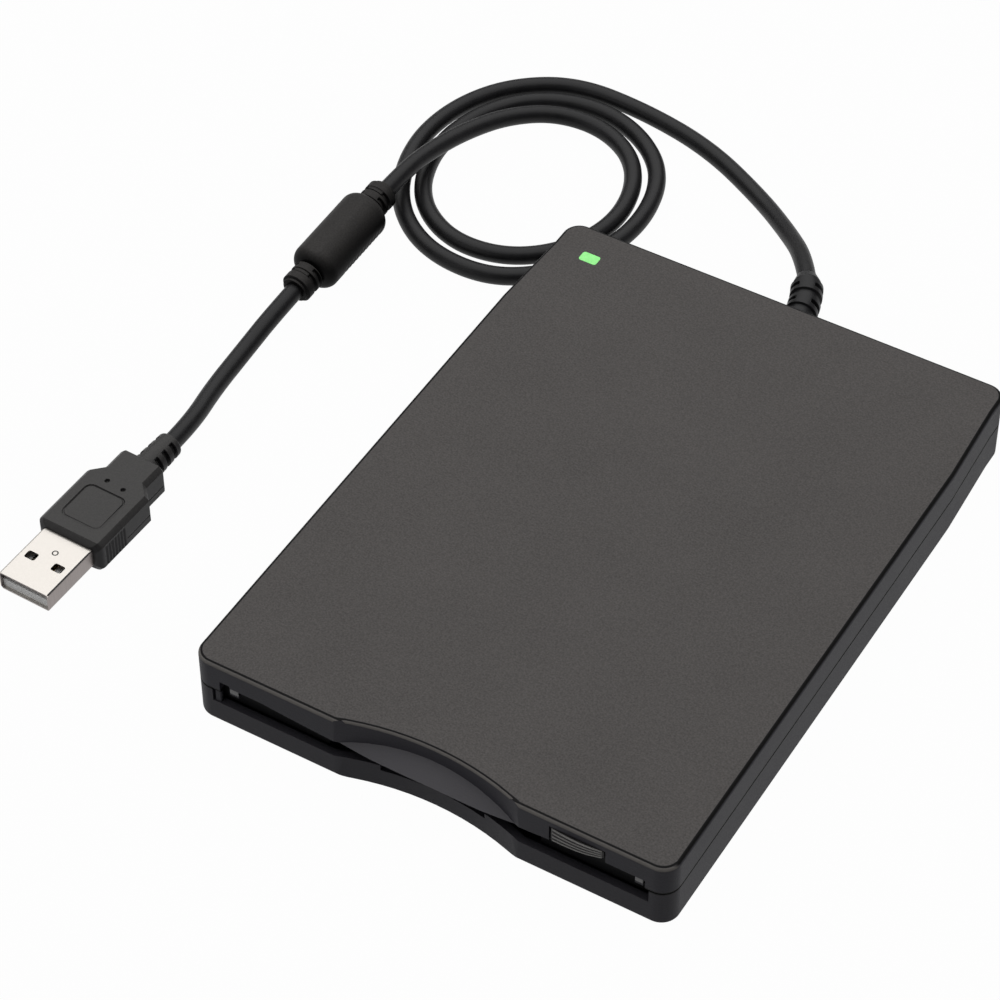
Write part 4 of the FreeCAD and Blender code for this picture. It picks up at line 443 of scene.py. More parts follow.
# -------- meshes from arrays

# vertices nearer than this are one, in metres: in the scene's own grids, and in the CAD's triangles
GRID_WELD = 1.5e-6
CAD_WELD = 2e-6
# edges that turn by more than this many degrees stay sharp
SHARP = 32.0


def smooth_mesh(name, bm, sharp=SHARP):
    """Mesh that looks smooth over all but its sharp edges."""
    limit = math.radians(sharp)
    for face in bm.faces:
        face.smooth = True
    for edge in bm.edges:
        edge.smooth = not (len(edge.link_faces) == 2 and edge.calc_face_angle(0) > limit)
    mesh = bpy.data.meshes.new(name)
    bm.to_mesh(mesh)
    bm.free()
    return mesh


def grid_faces(rows, columns):
    """Quads between neighbouring rows and columns; the last column joins the first."""
    index = np.arange(rows * columns).reshape(rows, columns)
    index = np.concatenate([index, index[:, :1]], axis=1)
    quads = np.stack([index[:-1, :-1], index[:-1, 1:], index[1:, 1:], index[1:, :-1]], axis=-1)
    return quads.reshape(-1, 4)


def surface(name, grids, sharp):
    """One mesh from grids of points in millimetres, each rows x columns x 3.

    Its seams and poles are closed and its faces look outwards."""
    verts = []
    faces = []
    count = 0
    for grid in grids:
        rows, columns = grid.shape[:2]
        verts.append(grid.reshape(-1, 3) * MM)
        faces.append(grid_faces(rows, columns) + count)
        count += rows * columns
    mesh = bpy.data.meshes.new(name + "_raw")
    mesh.from_pydata(np.concatenate(verts).tolist(), [], np.concatenate(faces).tolist())
    bm = bmesh.new()
    bm.from_mesh(mesh)
    bpy.data.meshes.remove(mesh)
    bmesh.ops.remove_doubles(bm, verts=bm.verts, dist=GRID_WELD)
    bmesh.ops.recalc_face_normals(bm, faces=bm.faces)
    return smooth_mesh(name, bm, sharp)


def add_piece(name, mesh, body, slot, *replaced):
    piece = add_object(name, mesh)
    mesh.materials.append(FINISHES[slot])
    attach(piece, body)
    if replaced:
        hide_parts(*replaced)
    return piece


def add_surface(name, grids, body, slot, *replaced, sharp=SHARP):
    return add_piece(name, surface(name, grids, sharp), body, slot, *replaced)


def in_mm(corners):
    """The two corners of a box, in millimetres."""
    return [np.array(corner) / MM for corner in corners]


def smooth_step(x, low, high):
    """0 below low, 1 above high, a smooth rise between."""
    t = np.clip((x - low) / (high - low), 0, 1)
    return t * t * (3 - 2 * t)


def plateau(x, low, high, soft):
    """1 between low and high, falling smoothly to 0 over soft on both sides."""
    rise = smooth_step(x, low - soft / 2, low + soft / 2)
    return rise * (1 - smooth_step(x, high - soft / 2, high + soft / 2))


def edge_inset(y, round_, power):
    """How far a section stays back near an end whose edge is round_ deep; power 2 is round, 1 a chamfer."""
    left = 1 - np.clip(y / round_, 0, 1)
    return round_ * (1 - (1 - left ** power) ** (1 / power))


# -------- shapes that several pieces share

EAST = (1, 0, 0)
NORTH = (0, 1, 0)
UPWARD = (0, 0, 1)
ROD_COLUMNS = 10


def around(columns):
    """Angles once round, one for each column."""
    return np.linspace(0, TURN, columns, endpoint=False)


def swept(centres, across, upward, radius, closed=True):
    """Rings round a line: point = centre + radius * (cos t * across + sin t * upward), t once round.

    across and upward are one direction, or one for each ring; closed draws both ends to a point."""
    t = around(radius.shape[1])[:, None]
    out = np.atleast_2d(across)[:, None] * np.cos(t) + np.atleast_2d(upward)[:, None] * np.sin(t)
    if closed:
        radius[[0, -1]] = 0
    return centres[:, None] + radius[:, :, None] * out


def rod(line, across, upward, radius):
    """Round bar of one radius along a line."""
    return swept(line, across, upward, np.full((len(line), ROD_COLUMNS), radius))


def turned(profile, centre, columns=64):
    """Lathe: each (height, radius) of the profile becomes a ring round an upright axis through centre."""
    t = around(columns)
    height = np.repeat(profile[:, :1], columns, axis=1)
    radius = profile[:, 1:]
    return np.stack([radius * np.cos(t), radius * np.sin(t), height], axis=-1) + np.asarray(centre)


def solids(node):
    """(lowest, highest) corner in millimetres of each separate solid of a CAD node, from left to right."""
    bm = bmesh.new()
    bm.from_mesh(NODES[node].data)
    bmesh.ops.remove_doubles(bm, verts=bm.verts, dist=CAD_WELD)
    left = set(bm.verts)
    found = []
    while left:
        island = {left.pop()}
        edge = list(island)
        while edge:
            near = {e.other_vert(v) for v in edge for e in v.link_edges} - island
            island |= near
            edge = list(near)
        left -= island
        places = np.array([v.co for v in island]) / MM
        found.append((places.min(axis=0), places.max(axis=0)))
    bm.free()
    return sorted(found, key=lambda corners: tuple(np.round(corners[0], 2)))


def corner_rectangle(top, corner, side, bottom, squareness):
    """Columns round a rounded rectangle, clockwise from its upper left; the first four values say how many.

    fx, fz place the corner's middle and cx, cz the way out of it, squareness 1 makes the corner round, and
    point = (fx * (half width - round) + cx * round, fz * (half height - round) + cz * round)."""
    a = np.linspace(0, math.pi / 2, corner, endpoint=False)
    out, up = np.sin(a) ** squareness, np.cos(a) ** squareness
    run_top = np.linspace(-1, 1, top, endpoint=False)
    run_side = np.linspace(1, -1, side, endpoint=False)
    run_low = np.linspace(1, -1, bottom, endpoint=False)
    turn, east, north, south = np.ones(corner), np.ones(side), np.ones(top), -np.ones(bottom)
    fx = run_top, turn, east, turn, run_low, -turn, -east, -turn
    fz = north, turn, run_side, -turn, south, -turn, -run_side, turn
    cx = 0 * run_top, out, east, up, 0 * run_low, -out, -east, -up
    cz = north, up, 0 * run_side, -out, south, -up, 0 * run_side, out
    return [np.concatenate(stretches) for stretches in (fx, fz, cx, cz)]


# -------- softened pieces

FLAT_ANGLE = 0.5
EDGE_ANGLE = 25
# the recess meets the front face between these distances from the middle
RECESS_START = (19.5, 21.0)
POST_X = (-46.9, -45.1)


def softened(name, source, passes):
    """A copy of a CAD node with its triangles joined, flats merged and chosen edges rounded.

    passes are (chooser, width in mm, segments); chooser gets the ends of an edge in millimetres."""
    bm = bmesh.new()
    bm.from_mesh(NODES[source].data)
    bmesh.ops.remove_doubles(bm, verts=bm.verts, dist=CAD_WELD)
    bmesh.ops.dissolve_limit(bm, angle_limit=math.radians(FLAT_ANGLE), verts=bm.verts, edges=bm.edges)
    for chooser, width, segments in passes:
        edges = []
        for edge in bm.edges:
            if len(edge.link_faces) == 2 and math.degrees(edge.calc_face_angle(0)) > EDGE_ANGLE:
                ends = [v.co / MM for v in edge.verts]
                if chooser(ends[0], ends[1]):
                    edges.append(edge)
        bmesh.ops.bevel(bm, geom=edges, offset=width * MM, offset_type="OFFSET", segments=segments,
                        profile=0.5, affect="EDGES", clamp_overlap=True)
    return smooth_mesh(name, bm)


def soften_piece(name, source, body, slot, passes):
    """Piece in place of a CAD node: its own shape with softened edges."""
    piece = add_piece(name, softened(name, source, passes), body, slot, source)
    weighted = piece.modifiers.new("even_shading", "WEIGHTED_NORMAL")
    weighted.keep_sharp = True
    weighted.weight = 100


def on_front(p):
    return p.y < FRONT_Y + 0.02


def on_recess(p):
    away = math.hypot(p.x, p.y - (RECESS_Y - RECESS_RADIUS)) - RECESS_RADIUS
    return abs(away) < 0.03 and abs(p.x) < RECESS_HALF


def recess_start(a, b):
    """Upright edges where the recess meets the front face."""
    near = all(on_front(p) and RECESS_START[0] < abs(p.x) < RECESS_START[1] for p in (a, b))
    return near and abs(a.z - b.z) > 0.5


def front_edge(a, b):
    """Slot and window edges on the front face, but not the upright ones where the recess starts."""
    return on_front(a) and on_front(b) and (a - b).length > 0.02 and not recess_start(a, b)


def recess_top(a, b):
    return all(on_recess(p) and p.z > CASE_TOP - 0.05 for p in (a, b))


def on_post(a, b):
    """Free edges of the small post at the slot's left end."""
    near = all(POST_X[0] < p.x < POST_X[1] and p.z > 6.4 and p.y < FRONT_Y + 1.3 for p in (a, b))
    return near and max(a.z, b.z) > 7


def long_edge(a, b):
    return (a - b).length > 0.5


def make_covers():
    """The two covers, the door's wings and the lamp window, with their edges rounded."""
    soften_piece("upper_shell", "top_cover", "housing", "shell_top",
                 [(recess_top, 0.8, 5), (recess_start, 1.0, 5), (front_edge, 0.22, 3)])
    soften_piece("lower_shell", "bottom_cover", "housing", "shell_base",
                 [(recess_start, 1.0, 5), (on_post, 0.4, 4), (front_edge, 0.35, 3)])
    soften_piece("left_flap", "left_door", "left_wing", "door", [(long_edge, 0.16, 3)])
    soften_piece("right_flap", "right_door", "right_wing", "door", [(long_edge, 0.16, 3)])
    soften_piece("lamp_window", "status_lens", "housing", "lens", [(long_edge, 0.18, 3)])


# -------- eject button

BUTTON_BOW = 32.0
BUTTON_LIFT = 0.4
BUTTON_DROP = (-0.4, 0.5)
BUTTON_ROUND = 0.2
BUTTON_BACK = 0.5
RIDGES = (0.08, 0.36, 0.65, 0.95)
RIDGE_RADIUS = 0.16
RIDGE_END = 0.25
LIP_Z = 10.1
LIP_SIDE_Z = 12.0


def make_button():
    """Eject button: upright sections along X round a front that bows outwards.

    Front y = middle's y + bow - sqrt(bow^2 - x^2); lower edge = the lip's arc plus a lift; ridges fan out."""
    low, high = in_mm(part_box("eject_button"))
    middle = (low[0] + high[0]) / 2
    half = (high[0] - low[0]) / 2
    ends = BUTTON_ROUND * (1 - np.cos(np.linspace(0, math.pi / 2, 7)))
    x = np.concatenate([-half + ends, np.linspace(-half, half, 72)[2:-2], half - ends[::-1]])
    narrow = edge_inset(half - np.abs(x), BUTTON_ROUND, 2)
    arc = np.minimum(LIP_Z + LIP_RADIUS - np.sqrt(LIP_RADIUS ** 2 - (x + middle) ** 2), LIP_SIDE_Z)
    share = x / half
    bottom = arc + BUTTON_LIFT + narrow + np.where(share < 0, *BUTTON_DROP) * share ** 2
    top = high[2] - narrow
    front = low[1] + BUTTON_BACK + BUTTON_BOW - np.sqrt(BUTTON_BOW ** 2 - x ** 2) + narrow
    back = np.full(len(x), high[1])
    level = np.linspace(0, 1, 90)
    z = bottom[:, None] + (top - bottom)[:, None] * level
    face = np.repeat(front[:, None], len(level), axis=1)
    face += edge_inset(top[:, None] - z, BUTTON_ROUND, 2) + edge_inset(z - bottom[:, None], BUTTON_ROUND, 2)
    wide = np.repeat(x[:, None] + middle, len(level), axis=1)
    sections = np.stack([wide, face, z], axis=-1)
    corners = np.stack([np.stack([x + middle, back, rim], axis=-1) for rim in (top, bottom)], axis=1)
    grid = np.concatenate([sections, corners], axis=1)
    closed = [np.repeat(grid[i].mean(axis=0)[None, None], grid.shape[1], axis=1) for i in (0, -1)]
    grid = np.concatenate([closed[0], grid, closed[1]], axis=0)
    add_surface("button_cap", [grid], "slide", "button", "eject_button", sharp=50)
    ridges = []
    run = (half - RIDGE_END) * np.linspace(-1, 1, 60)
    for share in RIDGES:
        level = np.interp(run, x, bottom) * (1 - share) + np.interp(run, x, top) * share
        line = np.stack([run + middle, np.interp(run, x, front), level], axis=-1)
        ridges.append(rod(line, NORTH, UPWARD, RIDGE_RADIUS))
    # the ridges' light finish is a painted highlight
    add_surface("button_ridges", ridges, "slide", "ridge")


# -------- lugs at the slot

# from left to right: lower left and upper right corner of each lug on the front face, as (x, z)
LUGS = (((-43.0, 10.7), (-41.0, 12.5)), ((44.1, 10.8), (45.8, 12.3)))
LUG_DEPTH = (0.03, 1.1)
LUG_ROUND = 0.2


def rounded_block(low, high, round_):
    """Block with round edges: stacked rounded rectangles, each drawn in near the top and bottom."""
    fx, fz, cx, cz = corner_rectangle(8, 6, 6, 8, 1.0)
    low, high = np.array(low), np.array(high)
    middle, half = (low + high) / 2, (high - low) / 2
    share = np.concatenate([[0.0], 1 - np.cos(np.linspace(0, math.pi / 2, 6))])
    z = np.concatenate([low[2] + round_ * share, high[2] - round_ * share[::-1]])
    inset = edge_inset(np.minimum(z - low[2], high[2] - z), round_, 2)
    keep = np.ones(len(z))
    keep[0] = keep[-1] = 0
    bend = round_ * keep[:, None]
    wide = (half[0] - inset)[:, None] * keep[:, None]
    deep = (half[1] - inset)[:, None] * keep[:, None]
    x = middle[0] + fx * (wide - bend) + cx * bend
    y = middle[1] + fz * (deep - bend) + cz * bend
    return np.stack([x, y, np.repeat(z[:, None], len(fx), axis=1)], axis=-1)


def make_lugs():
    """Two lugs under the slot's upper lip, made light by a painted glint."""
    front, back = (FRONT_Y + depth for depth in LUG_DEPTH)
    lugs = [rounded_block((x0, front, z0), (x1, back, z1), LUG_ROUND) for (x0, z0), (x1, z1) in LUGS]
    add_surface("lip_lugs", lugs, "housing", "lug")


# -------- boot

BOOT_ARC = 28
BOOT_RINGS = 3
BOOT_RING_ANGLE = 6.5
BOOT_GROOVE_ANGLE = 2.7
BOOT_SLOT = 0.95
BOOT_SLOT_DEPTH = 1.0
BOOT_BRIDGE_Z = 3.0
BOOT_CORE = 3.0
BOOT_RING = 3.5
BOOT_FLANGE = 1.75
BOOT_TIP = (2.2, 2.15)


def make_boot():
    """Boot: rings on a bar that bends to the left.

    Middle line: straight through the wall, an arc of radius BOOT_BEND, then straight; a = angle on the arc.
    Radius: flange, core, rings, cone; each ring is slotted on both sides up to |z| = BOOT_BRIDGE_Z."""
    low, high = in_mm(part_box("cord_boot"))
    arc = BOOT_BEND * math.radians(BOOT_ARC)
    wall = REAR_Y - low[1]
    tip_length, tip_radius = BOOT_TIP
    s = np.linspace(-wall, arc + tip_length, 330)
    a = np.clip(s, 0, arc) / BOOT_BEND
    beyond = s - np.clip(s, 0, arc)
    centres = np.stack([
        BOOT_X - BOOT_BEND + BOOT_BEND * np.cos(a) - beyond * np.sin(a),
        REAR_Y + BOOT_BEND * np.sin(a) + beyond * np.cos(a),
        np.full(len(s), SEAM_Z),
    ], axis=-1)
    across = np.stack([np.cos(a), np.sin(a), 0 * a], axis=-1)
    columns = 160
    t = around(columns)
    radius = np.where(s < -wall + BOOT_FLANGE, (high[2] - low[2]) / 2, BOOT_CORE - 0.02)
    radius = np.where(s > arc, BOOT_CORE + (tip_radius - BOOT_CORE) * (s - arc) / tip_length, radius)
    sides = 1 - smooth_step(np.abs(BOOT_RING * np.sin(t)), BOOT_BRIDGE_Z - 0.1, BOOT_BRIDGE_Z + 0.1)
    slots = np.zeros((len(s), columns))
    for i in range(BOOT_RINGS):
        start = math.radians(1 + i * (BOOT_RING_ANGLE + BOOT_GROOVE_ANGLE)) * BOOT_BEND
        end = start + math.radians(BOOT_RING_ANGLE) * BOOT_BEND
        radius = radius + (BOOT_RING - BOOT_CORE) * plateau(s, start, end, 0.3)
        middle = (start + end) / 2
        slots += plateau(s, middle - BOOT_SLOT / 2, middle + BOOT_SLOT / 2, 0.12)[:, None] * sides
    grid = swept(centres, across, UPWARD, radius[:, None] - BOOT_SLOT_DEPTH * slots)
    add_surface("strain_boot", [grid], "housing", "cord_black", "cord_boot")


# -------- bead

BEAD_HALF = 11.0
BEAD_RADIUS = 5.5
BEAD_ROUND = 2.5
BEAD_FLAT = 5.3
BEAD_RIBS = (-8.0, 5.6)
BEAD_RIB_PITCH = 1.25
BEAD_RIB_DEPTH = 0.16
BEAD_DOT = (8.0, 322)
BEAD_DOT_DEPTH = 0.45
COLLAR = 5.8
COLLAR_CORE = 2.9
COLLAR_RING = 3.5
COLLAR_SLOT_DEPTH = 0.6
CORE_BORE = 2.1
CORE_RECESS = 0.3
# how far up or down a groove's bridges begin and are whole, as the sine of the angle round the cord
BRIDGE = (0.78, 0.86)


def make_bead():
    """Bead housing: radius along the cord = barrel with round ends, then two ringed collars; inside, a bore.

    Fine ribs cross its outer low side, its top is a little flat, and each collar groove has a bridge above
    and one below."""
    start, finish = Vector(BEAD_START), Vector(BEAD_FINISH)
    along = (finish - start).normalized()
    right = Vector((-along.y, along.x, 0)).normalized()
    up = along.cross(right)
    reach = BEAD_HALF + COLLAR
    s = np.linspace(-reach, reach, 400)
    columns = 144
    t = around(columns)
    beyond = np.abs(s)
    end = np.clip(beyond - (BEAD_HALF - BEAD_ROUND), 0, BEAD_ROUND)
    barrel = BEAD_RADIUS - BEAD_ROUND + np.sqrt(BEAD_ROUND ** 2 - end ** 2)
    radius = np.where(beyond <= BEAD_HALF, barrel, COLLAR_CORE)
    half = COLLAR / 2
    ring = COLLAR_RING - COLLAR_CORE
    for i in range(2):
        foot = BEAD_HALF + i * half + 0.3
        radius = radius + ring * plateau(beyond, foot, foot + half - 0.9, 0.3)
    radii = np.repeat(radius[:, None], columns, axis=1)
    bridge = smooth_step(np.abs(np.sin(t)), *BRIDGE)
    gap = plateau(beyond, BEAD_HALF + half - 0.6, BEAD_HALF + half + 0.3, 0.1)
    radii += (ring - 0.1) * gap[:, None] * bridge
    gap = plateau(beyond, BEAD_HALF + 0.75, BEAD_HALF + 1.5, 0.15)
    radii -= COLLAR_SLOT_DEPTH * gap[:, None] * (1 - bridge)
    low_side = plateau(np.degrees(t), 285, 352, 14)
    ribs = (0.5 + 0.5 * np.cos(s * TURN / BEAD_RIB_PITCH)) * plateau(s, *BEAD_RIBS, 0.8)
    radii -= BEAD_RIB_DEPTH * ribs[:, None] * low_side
    dot = np.hypot(s[:, None] - BEAD_DOT[0], np.radians(np.degrees(t) - BEAD_DOT[1]) * BEAD_RADIUS)
    radii -= BEAD_DOT_DEPTH * (1 - smooth_step(dot, 0.35, 0.6))
    flat = np.where(np.sin(t) > 0.6, BEAD_FLAT / np.maximum(np.sin(t), 0.6), 99)
    radii = np.where((beyond < BEAD_HALF)[:, None], np.minimum(radii, flat), radii)
    core_low, core_high = in_mm(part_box("bead_core"))
    core_half = (core_high[1] - core_low[1]) / 2 - CORE_RECESS
    core_radius = (core_high[0] - core_low[0]) / 2
    inner_s = np.array([reach, core_half, core_half, -core_half, -core_half, -reach])
    inner_r = np.array([CORE_BORE, CORE_BORE, core_radius, core_radius, CORE_BORE, CORE_BORE])
    s = np.concatenate([s, inner_s, s[:1]])
    radii = np.concatenate([radii, np.repeat(inner_r[:, None], columns, axis=1), radii[:1]])
    centres = np.array((start + finish) / 2) + s[:, None] * np.array(along)
    grid = swept(centres, right, up, radii, closed=False)
    add_surface("bead_sleeve", [grid], "housing", "bead_black", "bead_housing")


# -------- plug

GRIP_WIDTH = 15.5
GRIP_HEIGHT = 7.6
GRIP_LENGTH = 16.5
SHOULDER = 2.6
NECK_WIDTH = 10.4
NECK_END = 25.0
NECK_ROUND = 0.6
GRIP_ROUND = 1.0
GRIP_CORNER = 1.6
# panel line: half width, half length, place of its middle, corner radius, depth
PANEL = (4.65, 4.8, 8.6, 1.5, 0.3)
DIMPLES = ((-2.05, 15.84), (2.16, 15.49))
DIMPLE_DEPTH = 0.6
GRIP_RIB_PITCH = 0.95
GRIP_RIB_DEPTH = 0.25
MOULD_Z = 2.7
MOULD_DEPTH = 0.1
# length, radius at its foot and radius at its end
RELIEF = (9.1, 3.2, 2.8)
RELIEF_SLOTS = 3
RELIEF_PITCH = 2.5
RELIEF_GAP = 1.05
RELIEF_DEPTH = 0.9
SHEATH_HALF = 6.0
SHEATH_INSIDE = 5.85
FOLD = (-14.3, -0.3)
FOLD_RADIUS = 0.18
FOLD_INSET = 0.2
STAMP = (0.3, -4.4)
# heights and radii of the stamped ring's section
STAMP_RING = ((-0.05, 0.42), (0, 0.42), (0.05, 0.5), (0.05, 0.62), (0, 0.7), (-0.05, 0.7), (-0.05, 0.42))


def turn_flat(x, y, angle):
    c, n = math.cos(angle), math.sin(angle)
    return c * x - n * y, n * x + c * y


def at_plug(grid):
    """From the plug's own axes, its front at y = 0 and its cord end along +Y, to where it lies."""
    x, y = turn_flat(grid[..., 0], grid[..., 1], PLUG_TURN)
    return np.stack([PLUG_FRONT[0] + x, PLUG_FRONT[1] + y, grid[..., 2]], axis=-1)


def grip_marks(x, y, z, cx, cz):
    """Depth of the grip's marks: panel line and two dimples on top, ribs and a mould line on the sides."""
    half_x, half_y, middle_y, corner, groove = PANEL
    dx = np.abs(x) - (half_x - corner)
    dy = np.abs(y - middle_y) - (half_y - corner)
    line = np.hypot(np.maximum(dx, 0), np.maximum(dy, 0)) + np.minimum(np.maximum(dx, dy), 0) - corner
    fade = 0.45 + 0.55 * smooth_step(y - 0.6 * x, 3.0, 12.0)
    depth = groove * fade * (1 - smooth_step(np.abs(line), 0.1, 0.26))
    for place in DIMPLES:
        depth = depth + DIMPLE_DEPTH * (1 - smooth_step(np.hypot(x - place[0], y - place[1]), 0.36, 0.56))
    depth = depth * (cz > 0.999)
    ribs = (0.5 + 0.5 * np.cos((y - 2.4) * TURN / GRIP_RIB_PITCH)) * plateau(y, 2.0, 8.4, 0.4)
    ribs = GRIP_RIB_DEPTH * ribs * plateau(z, 1.2, 6.2, 0.8)
    mould = MOULD_DEPTH * (1 - smooth_step(np.abs(z - MOULD_Z), 0.05, 0.14)) * (y > 8.8)
    return depth + (ribs + mould) * (np.abs(cx) > 0.999)


def grip_body():
    """Sections along Y: half width falls at the shoulders to the neck, edges are part chamfer, part round."""
    fx, fz, cx, cz = corner_rectangle(126, 6, 40, 22, 1.9)
    y = np.concatenate([
        np.linspace(0, GRIP_CORNER, 18, endpoint=False),
        np.linspace(GRIP_CORNER, NECK_END - NECK_ROUND, 226),
        NECK_END - NECK_ROUND * np.linspace(1, 0, 8)[1:],
    ])
    shoulder = np.clip((y - GRIP_LENGTH) / SHOULDER, 0, 1)
    neck = edge_inset(NECK_END - y, NECK_ROUND, 2)
    half_x = GRIP_WIDTH / 2 + (NECK_WIDTH - GRIP_WIDTH) / 2 * shoulder - edge_inset(y, GRIP_CORNER, 2) - neck
    half_z = GRIP_HEIGHT / 2 - edge_inset(y, GRIP_ROUND, 1.1) - neck
    shrink = np.array([0.0, 0.5, 0.9])
    y = np.concatenate([np.full(3, y[0]), y, np.full(3, y[-1])])
    half_x = np.concatenate([shrink * half_x[0], half_x, shrink[::-1] * half_x[-1]])
    half_z = np.concatenate([shrink * half_z[0], half_z, shrink[::-1] * half_z[-1]])
    bend = np.minimum(GRIP_ROUND, np.minimum(half_x, half_z))[:, None]
    x = fx * (half_x[:, None] - bend) + cx * bend
    z = fz * (half_z[:, None] - bend) + cz * bend + GRIP_HEIGHT / 2
    rows = np.repeat(y[:, None], len(fx), axis=1)
    depth = grip_marks(x, rows, z, cx, cz) * ((y > 0.2) & (y < NECK_END - 0.2))[:, None]
    return np.stack([x - depth * cx, rows, z - depth * cz], axis=-1)


def grip_relief():
    """Strain relief behind the neck: a cone whose slots leave a bridge along its top and bottom."""
    length, thick, thin = RELIEF
    s = np.linspace(0, length, 120)
    columns = 120
    radius = thick + (thin - thick) * s / length - edge_inset(length - s, 0.5, 2)
    radii = np.repeat(radius[:, None], columns, axis=1)
    sides = 1 - smooth_step(np.abs(np.sin(around(columns))), *BRIDGE)
    for i in range(RELIEF_SLOTS):
        start = 1.5 + i * RELIEF_PITCH
        radii -= RELIEF_DEPTH * plateau(s, start, start + RELIEF_GAP, 0.15)[:, None] * sides
    centres = np.stack([0 * s, NECK_END - 0.1 + s, np.full(len(s), GRIP_HEIGHT / 2)], axis=-1)
    return swept(centres, EAST, UPWARD, radii)


def make_grip():
    grids = [at_plug(grip_body()), at_plug(grip_relief())]
    add_surface("plug_body", grids, "housing", "plug_black", "plug_grip", sharp=28)


def in_plug_axes(chooser):
    """A chooser of edges whose ends come in the plug's own axes."""
    def own(p):
        return Vector((*turn_flat(p.x - PLUG_FRONT[0], p.y - PLUG_FRONT[1], -PLUG_TURN), p.z))

    return lambda a, b: chooser(own(a), own(b))


@in_plug_axes
def hole_corner(a, b):
    return 0.2 < abs(a.z - b.z) < 0.5 and abs(a.x) < 5 and -9 < a.y < -6


@in_plug_axes
def long_outside(a, b):
    return abs(a.y - b.y) > 3 and abs(a.x) > SHEATH_INSIDE and abs(b.x) > SHEATH_INSIDE


@in_plug_axes
def long_inside(a, b):
    return abs(a.y - b.y) > 3 and 5.4 < abs(a.x) < SHEATH_INSIDE and 5.4 < abs(b.x) < SHEATH_INSIDE


@in_plug_axes
def rim(a, b):
    return max(a.y, b.y) < -14.2 and (a - b).length > 0.15


def make_plug_shell():
    """Folded metal shell: latch holes with round corners, long edges rounded, fine rims.

    A dark rod along one edge paints the shade of the fold line, and a thin dark ring on its top paints the
    shade of a stamped ring."""
    top = in_mm(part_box("plug_shell"))[1][2]
    line = np.array([(SHEATH_HALF - FOLD_INSET, y, top - FOLD_INSET) for y in np.linspace(*FOLD, 30)])
    # dark rod along the fold: painted shade
    fold = rod(line, EAST, UPWARD, FOLD_RADIUS)
    add_surface("sheath_fold_shade", [at_plug(fold)], "housing", "fold")
    stamp = turned(np.array(STAMP_RING), (*STAMP, top), columns=40)
    add_surface("sheath_stamp_shade", [at_plug(stamp)], "housing", "fold")
    soften_piece("plug_sheath", "plug_shell", "housing", "plug_nickel",
                 [(hole_corner, 0.45, 5), (long_outside, 0.55, 5), (long_inside, 0.3, 4), (rim, 0.07, 2)])


# -------- small hardware

THREAD_PITCH = 0.55
THREAD_DEPTH = 0.12
THREAD_STEP = 0.08
HEAD_RIM = 0.1
HEAD_DOME = 0.45
HEAD_RECESS = 0.6
# CAD node, height of the head, radius of the shank, +1 when the head faces up and -1 when it faces down
SCREWS = (("housing_screws", 1.2, 1.0, -1), ("drive_screws", 1.2, 1.0, 1), ("top_plate_screws", 0.4, 0.8, 1))
FOOT_RIM = 0.5
FOOT_DISH = 0.12
# CAD node, axis, wire radius, turns
SPRINGS = (("slide_springs", "y", 0.16, 16), ("door_springs", "x", 0.12, 4))
COIL_WIRE = 0.06
COIL_LAYERS = 4
COIL_BORE = 0.45
LEAD = 3.0
LEAD_DEPTH = 0.22


def cross_screw(low, high, head, shank, facing):
    """Screw along Z in a CAD box: threaded shank, domed head with a cross recess.

    Top height = total - dome * (r / radius)^4 - recess where |x| or |y| is under the blade's half width."""
    centre = (low + high) / 2
    radius = (high - low)[0] / 2
    tall = high[2] - low[2]
    columns = 96
    t = around(columns)
    rows = []
    for level in np.linspace(0, tall - head, int((tall - head) / THREAD_STEP)):
        ridge = THREAD_DEPTH * np.abs(((level / THREAD_PITCH + t / TURN) % 1) - 0.5) * 2
        taper = min(1.0, 0.35 + level / 0.6)
        rows.append(((shank - ridge) * taper, np.full(columns, level)))
    rows.append((np.full(columns, radius - HEAD_RIM), np.full(columns, tall - head)))
    rows.append((np.full(columns, radius), np.full(columns, tall - head + HEAD_RIM)))
    for r in np.concatenate([np.linspace(radius, radius * 0.9, 5), np.linspace(radius * 0.88, 0, 34)]):
        edge = (r / radius) ** 4
        blade = np.minimum(np.abs(r * np.cos(t)), np.abs(r * np.sin(t)))
        recess = 1 - smooth_step(blade, 0.16 * radius, 0.24 * radius)
        recess = recess * (1 - smooth_step(r, 0.5 * radius, 0.66 * radius))
        rows.append((np.full(columns, r), tall - HEAD_DOME * head * edge - HEAD_RECESS * head * recess))
    r = np.array([row[0] for row in rows])
    z = np.array([row[1] for row in rows])
    z = low[2] + z if facing > 0 else high[2] - z
    r[0] = 0
    return np.stack([centre[0] + r * np.cos(t), centre[1] + r * np.sin(t), z], axis=-1)


def make_screws():
    for node, head, shank, facing in SCREWS:
        grids = [cross_screw(low, high, head, shank, facing) for low, high in solids(node)]
        add_surface("cross_" + node, grids, "housing", "screw_steel", node, sharp=38)


def make_feet():
    """Rubber foot: a low disc with a round rim and a shallow dish underneath."""
    grids = []
    for low, high in solids("rubber_feet"):
        radius = (high - low)[0] / 2
        tall = high[2] - low[2]
        profile = np.array(
            [(FOOT_DISH, 0.0), (FOOT_DISH, radius - 1.3), (0.0, radius - 1.0), (0.0, radius - FOOT_RIM)]
            + [(FOOT_RIM - FOOT_RIM * math.sin(a), radius - FOOT_RIM + FOOT_RIM * math.cos(a))
               for a in np.linspace(math.pi / 2, 0, 9)[1:]]
            + [(tall, radius), (tall, 0.0)])
        centre = (low + high) / 2
        grids.append(turned(profile, (centre[0], centre[1], low[2])))
    add_surface("foot_pads", grids, "housing", "rubber", "rubber_feet")


